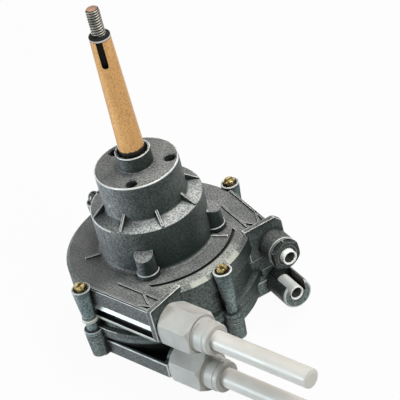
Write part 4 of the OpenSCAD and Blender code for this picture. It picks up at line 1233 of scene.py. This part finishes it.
# %% [markdown]
# ## Casing screws
# Three screws have hexagon heads with a slot. A hexagon is raised and then shared with a turned lens
# shape, which chamfers its corners the way a lathe does. The back one has a tall, dark, round head.

# %% Casing screws
SHANK_R, SHANK_END = 2.5, -125
SAW_HALF = 0.7


def hexagon(across, start):
    """The corners of a hexagon of a width across its flats, its first corner at an angle."""
    corner_r = across / math.sqrt(3)
    angles = [start + math.tau * k / 6 for k in range(6)]
    return [(corner_r * math.cos(a), corner_r * math.sin(a), 0) for a in angles]


def shank():
    """A screw's shank below its head."""
    return turned("shank", [
        (0, SHANK_END, 0), (SHANK_R - 0.3, SHANK_END, 0), (SHANK_R, SHANK_END + 0.6, 0),
        (SHANK_R, HEAD_Z + 0.5, 0), (0, HEAD_Z + 0.5, 0),
    ], steps=32)


def slotted(head, floor):
    """Saws a screwdriver's slot into a head, down to a height."""
    return cut(head, block("slot", (-6, -SAW_HALF, floor), (6, SAW_HALF, floor + 3), 0))


head = plate("head", hexagon(8, math.radians(30)), HEAD_Z, HEAD_Z + 5.4, 0.15)
lens_shape = turned("lens_shape", [
    (0, HEAD_Z - 1, 0), (4.9, HEAD_Z - 1, 0), (4.9, HEAD_Z + 3.4, 0), (3.7, HEAD_Z + 4.4, 0.4),
    (0, HEAD_Z + 4.4, 0),
], steps=48)
cut(head, lens_shape, operation="INTERSECT")
slotted(head, HEAD_Z + 3)
hex_screw = join("hex_screw", [head, shank()])
hex_screws = ring_of(put(hex_screw, at=(SCREW_R, 0, 0)), (0, 90, 270))
screws = join("hex_casing_screws", hex_screws)
dress(screws, "housing", ["casing_screws"], [brass_zinc], smooth=28)

# %% Back screw
dome = turned("dome", [
    (0, HEAD_Z, 0), (4.62, HEAD_Z, 0.3), (4.62, HEAD_Z + 6, 0.6), (3.62, HEAD_Z + 8.2, 0.8),
    (2.22, HEAD_Z + 9.4, 0.7), (0, HEAD_Z + 9.4, 0),
], steps=48)
slotted(dome, HEAD_Z + 8)
back_screw = put(join("domed_casing_screw", [dome, shank()]), math.pi, at=(-SCREW_R, 0, 0))
dress(back_screw, "housing", ["casing_screws"], [dark_head], smooth=28)

# %% [markdown]
# ## The steering shaft
# The shaft is turned with a taper for the wheel, then a keyway is milled with a rounded cutter. At the
# taper's top a bright ring lies in a black band.

# %% Shaft blank with its keyway
SHAFT_R, STUB_R, SHOULDER_R, CLIP_R, TAPER_R = 9.525, 4.5, 12.675, 8.425, 7.7
STUB_END, SHOULDER_LOW, SHOULDER_HIGH = -68.85, -49.05, -45.05
CLIP_LOW, CLIP_HIGH, TAPER_START, SHAFT_TOP = 0.95, 2.35, 14, 111.3
BAND_Z = 107.9
BRIGHT_LOW, BRIGHT_HIGH = BAND_Z + 0.4, BAND_Z + 1.7
KEY_ANGLE, KEY_LOW, KEY_HALF = math.radians(-45), 86.9, 2.4
shaft = turned("shaft_blank", [
    (0, STUB_END, 0), (STUB_R, STUB_END, 0.4), (STUB_R, SHOULDER_LOW, 0), (SHOULDER_R, SHOULDER_LOW, 0.3),
    (SHOULDER_R, SHOULDER_HIGH, 0.3), (SHAFT_R, SHOULDER_HIGH, 0), (SHAFT_R, CLIP_LOW, 0),
    (CLIP_R, CLIP_LOW, 0), (CLIP_R, CLIP_HIGH, 0), (SHAFT_R, CLIP_HIGH, 0), (SHAFT_R, TAPER_START, 0),
    (TAPER_R, BAND_Z, 0), (TAPER_R, BRIGHT_LOW, 0), (TAPER_R, BRIGHT_HIGH, 0), (TAPER_R, SHAFT_TOP - 1, 0.3),
    (TAPER_R - 1, SHAFT_TOP, 0.3), (0, SHAFT_TOP, 0),
], steps=72)
key_cutter = plate("key_cutter", [
    (-KEY_HALF, KEY_LOW, 2.35), (KEY_HALF, KEY_LOW, 2.35), (KEY_HALF, BAND_Z, 0), (-KEY_HALF, BAND_Z, 0),
], 5.3, 19, 0)
put(key_cutter, QUARTER + KEY_ANGLE, tip=(QUARTER, 0))
cut(shaft, key_cutter)
print("shaft faces", len(shaft.data.polygons))

# %% [markdown]
# The thread starts as a stack of plain rings. Each ring's points are moved out or in by a saw-tooth
# of their height and angle, so the stack becomes one helix of 2 mm pitch. A screw modifier could
# make it too, but the rings keep the thread closed at both ends.

# %% Thread
PITCH, THREAD_START, THREAD_END = 2.0, 110.8, 131.7
RING_R, RING_STEP, RINGS = 4.6, 0.25, 83
ROOT_R, CREST = 4.1, 0.9
rings = [(RING_R, THREAD_START + RING_STEP * k, 0) for k in range(RINGS)]
thread = turned("thread", [
    (0, THREAD_START, 0), *rings, (3.9, THREAD_END, 0), (0, THREAD_END, 0),
], steps=56)
for point in thread.data.vertices:
    x, y, z = point.co / MM
    r = math.hypot(x, y)
    if r > 4.2:
        swing = (z / PITCH - math.atan2(y, x) / math.tau) % 1.0
        rise = min(1.0, 1.35 * (1 - abs(2 * swing - 1)))
        wanted = min(ROOT_R + CREST * rise, 4.0 + (THREAD_END - z) * 1.1)
        point.co.x *= wanted / r
        point.co.y *= wanted / r
shaft = join("steering_shaft", [shaft, thread])
print("thread of", round((THREAD_END - THREAD_START) / PITCH, 1), "turns")

# %% Finishes of the shaft
SHAFT_FINISHES = [gold_zinc, band_chrome, thread_steel, copper_end, black_and_shade]
GOLD, BRIGHT, STEEL, COPPER, BLACK_AND_SHADE = range(len(SHAFT_FINISHES))


def shaft_zone(face):
    """Gold taper, black keyway, a bright ring in a black band, steel thread crests over roots in painted
    shade, coppery end.
    """
    x, y, z = Matrix.Rotation(-KEY_ANGLE, 3, "Z") @ face.center / MM
    r = math.hypot(x, y)
    if z > THREAD_END - 0.05:
        return COPPER
    # The thread's roots take the black finish as painted shade between the crests.
    if z > SHAFT_TOP + 0.1:
        return STEEL if r > 4.5 else BLACK_AND_SHADE
    if z > BAND_Z + 0.05:
        return BRIGHT if BRIGHT_LOW < z < BRIGHT_HIGH else BLACK_AND_SHADE
    in_keyway = z > KEY_LOW - 0.2 and abs(y) < KEY_HALF + 0.05 and 0 < x < TAPER_R
    return BLACK_AND_SHADE if in_keyway else GOLD


dress(shaft, "shaft", ["input_shaft"], SHAFT_FINISHES, zone=shaft_zone, smooth=40)

# %% [markdown]
# ## Shaft seal
# A lip seal keeps spray out of the upper bush. Only its top ring shows in the boss.

# %% Shaft seal
SEAL_R, SEAL_SEAT_R = 9.58, 11.47
SEAL_LOW, SEAL_TOP = 3.3, 8.3
seal = turned("seal_ring", [
    (SEAL_R, SEAL_LOW, 0), (SEAL_SEAT_R, SEAL_LOW, 0.2), (SEAL_SEAT_R, SEAL_TOP, 0.3), (10.65, SEAL_TOP, 0.3),
    (9.9, 6.6, 0.3), (SEAL_R, 6.0, 0.2),
], steps=72)
dress(seal, "housing", ["shaft_seal"], [black_rubber])

# %% [markdown]
# ## Tube nuts
# Each nut is a moulded hexagon with a round collar. The hexagon is drawn out along the arm with a
# corner upwards, shared with a lens shape to round its ends, and bored for the spigot and the tube.
# The collar is joined on after the bore, because a cut is safe only in a single closed shell.

# %% Tube nuts
NUT_START, NUT_END, COLLAR_END = 57.3, 86.8, 100.5
NUT_ACROSS, NUT_BORE_R, COLLAR_R, COLLAR_BORE_R = 29.6, 7.34, 12.2, 7.5
nut = plate("nut", [(x, y, 1.2) for x, y, _ in hexagon(NUT_ACROSS, 0.0)], NUT_START - 1, NUT_END + 1, 0)
nut_ends = turned("nut_ends", [
    (0, NUT_START, 0), (14.6, NUT_START, 0.5), (17.4, NUT_START + 2.2, 0), (17.4, NUT_END - 3.0, 0.8),
    (14.7, NUT_END, 0.8), (0, NUT_END, 0),
], steps=72)
cut(nut, nut_ends, operation="INTERSECT")
cut(nut, turned("nut_bore", [
    (0, 50, 0), (SPIGOT_R + 0.02, 50, 0), (SPIGOT_R + 0.02, SPIGOT_END + 1, 0),
    (NUT_BORE_R, SPIGOT_END + 1, 0), (NUT_BORE_R, 110, 0), (0, 110, 0),
], steps=64))
collar = turned("collar", [
    (COLLAR_BORE_R, NUT_END - 2, 0), (13.4, NUT_END - 0.6, 0.5), (COLLAR_R, NUT_END + 1.4, 1.5),
    (COLLAR_R, COLLAR_END - 4.4, 0.4), (COLLAR_R - 0.5, COLLAR_END - 4, 0.3),
    (COLLAR_R - 0.5, COLLAR_END, 1.0), (COLLAR_BORE_R, COLLAR_END, 0.5),
], steps=72)
nut = join("nut", [nut, collar])
put(nut, tip=(0, QUARTER))
for name, node, z in (("upper", "upper_tube_nut", UPPER_Z), ("lower", "lower_tube_nut", LOWER_Z)):
    one = put(put(copy_of(nut, f"{name}_hexagon_nut"), at=(0, -TUBE_OFFSET, z)), ARMS["tube"][1])
    dress(one, "housing", [node], [nut_plastic], smooth=30)
bpy.data.objects.remove(nut)

# %% [markdown]
# ## Spent tubes and their plugs
# The spent cable ends slide out into two stiff tubes. Each is turned as a ring with eased ends, and
# closed with a plug whose flange is a little domed.

# %% Spent tubes and plugs
TUBE_START, TUBE_END = 57.15, 185.0
TUBE_R, TUBE_BORE_R, PLUG_R = 7.3, 5.72, 5.68
TUBE_OUTLINE = [
    (TUBE_BORE_R, TUBE_START, 0.2), (TUBE_R, TUBE_START, 0.3),
    *[(TUBE_R, z, 0) for z in (80, 105, 125, 145, 165)],
    (TUBE_R, TUBE_END, 0.2), (TUBE_BORE_R, TUBE_END, 0),
]
PLUG_OUTLINE = [
    (0, TUBE_END - 9, 0), (5.2, TUBE_END - 9, 0.4), (PLUG_R, TUBE_END - 7, 0), (PLUG_R, TUBE_END + 0.05, 0),
    (7.25, TUBE_END + 0.05, 0.1), (7.2, TUBE_END + 1.2, 0.6), (4.6, TUBE_END + 2, 0.8), (0, TUBE_END + 2, 0),
]
plugs = []
for name, node, z in (("upper", "upper_spent_tube", UPPER_Z), ("lower", "lower_spent_tube", LOWER_Z)):
    tube = arm_round("tube", f"{name}_tube", TUBE_OUTLINE, TUBE_OFFSET, z, 48)
    dress(tube, "housing", [node], [tube_plastic])
    plugs.append(arm_round("tube", f"{name}_plug", PLUG_OUTLINE, TUBE_OFFSET, z, 48))
dress(join("tube_plugs", plugs), "housing", ["tube_end_caps"], [tube_plastic])

# %% [markdown]
# ## Cable inlets
# The upper inlet has a steel ring nut and washer round a hollow nipple, and the lower nipple lies in
# the cradle. All are turned. The nut's flats come from keeping what it shares with a hexagonal bar.

# %% Ring nut
WASHER_END, RING_END, RING_ACROSS = 64.4, 69, 20.8
washer_outline = sleeve(NIPPLE_BORE_R, PORT_R - 0.1, INLET_BOSS_END + 0.02, WASHER_END, 0.2, 0.3)
washer = turned("washer", washer_outline, steps=72)
ring_nut = turned("ring_nut", [
    (NIPPLE_BORE_R, WASHER_END - 0.1, 0), (12.1, WASHER_END - 0.1, 0.1), (12.1, RING_END - 1.6, 0.1),
    (10.6, RING_END, 0.4), (7.9, RING_END, 0.4), (7.5, RING_END - 0.7, 0.3),
    (NIPPLE_BORE_R, RING_END - 0.7, 0.2),
], steps=72)
flats = plate("flats", [(x, y, 0.8) for x, y, _ in hexagon(RING_ACROSS, 0.0)], 60, 72, 0)
cut(ring_nut, flats, operation="INTERSECT")
ring_nut = join("ring_nut", [ease_cut_edges(ring_nut, 0.2), washer])
put(put(ring_nut, tip=(0, QUARTER), at=(0, INLET_OFFSET, UPPER_Z)), ARMS["inlet"][1])
ring_nut.name = "inlet_lock_ring"
# The ring nut takes the casting's painted shade by place and in its creases.
ring_skin = casting_finish("ring_nut_skin", (0.07, 0.076, 0.074), (0.13, 0.135, 0.13), (0.8, 0.81, 0.8))
print("worn faces", mark_worn_and_highlit_edges(ring_nut))
dress(ring_nut, "housing", ["inlet_ring_nut"], [ring_skin])

# %% [markdown]
# The nipples are hollow, with a flared mouth and a bore painted dark as shade. Their near-white
# plastic and a faint glow of their own are painted light, which lifts them out of the boss's shade.

# %% Nipples
nipple_plastic = soft_finish(
    "milky_nipple_plastic", (0.86, 0.87, 0.84), (0.95, 0.955, 0.93), 0.34, 45, 0.2, crease_shade=0.95)
nipple_shader = nipple_plastic.node_tree.nodes["Principled BSDF"]
# The glow is painted light.
nipple_shader.inputs["Emission Color"].default_value = (1.0, 1.0, 0.97, 1)
nipple_shader.inputs["Emission Strength"].default_value = 0.1
# The bore's dark finish is a painted shade.
painted_bore_shade = soft_finish("painted_bore_shade", (0.05, 0.05, 0.048), (0.11, 0.11, 0.10), 0.4, 90)
NIPPLE_R, HOLLOW_R, FLARE = 5.58, 3.6, 6


def in_bore(middle, axis_z):
    """Whether a place lies on the straight part of a nipple's bore."""
    _, out, z = in_arm("inlet", middle)
    return math.hypot(out - INLET_OFFSET, z - axis_z) < HOLLOW_R + 0.5


for name, node, start, end, z in (
    ("upper", "upper_inlet_nipple", 51, 73, UPPER_Z), ("lower", "lower_inlet_nipple", 46, 70, LOWER_Z),
):
    nipple = arm_round("inlet", f"{name}_nipple", [
        (HOLLOW_R, start, 0.2), (NIPPLE_R, start, 0.3), (NIPPLE_R, end, 0.4), (4.9, end, 0.3),
        (4.2, end - 1.2, 0), (HOLLOW_R, end - FLARE, 0.2),
    ], INLET_OFFSET, z, 56)
    dress(nipple, "housing", [node], [nipple_plastic, painted_bore_shade],
          zone=lambda face: int(in_bore(face.center / MM, z)))

# %% [markdown]
# ## Pieces kept as solids
# The sheets at the seam and everything inside the casing keep their exact solids, because flat sheet
# and cut gears need no more form. They take the same finishes as their neighbours.

# %% Finishes on the kept solids
KEPT = {
    rear_skin: ["middle_plate"],
    gasket_fibre: ["front_gasket", "rear_gasket"],
    bush_bronze: ["upper_bush", "lower_bush", "thrust_washer", "rear_bush", "planet_carrier"],
    gear_steel: ["ring_gear", "shaft_circlip", "sun_gear", "planet_pins", "pin_rings", "wheel_clamp_screws",
                 "planet_gear_1", "planet_gear_2", "planet_gear_3"],
    wheel_alloy: ["upper_cable_wheel", "lower_cable_wheel", "wheel_spacer"],
}
for finish, names in KEPT.items():
    for name in names:
        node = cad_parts[name]
        if not node.material_slots:
            node.data.materials.append(finish)
        for place in node.material_slots:
            place.material = finish
print("kept solids", sum(len(names) for names in KEPT.values()))
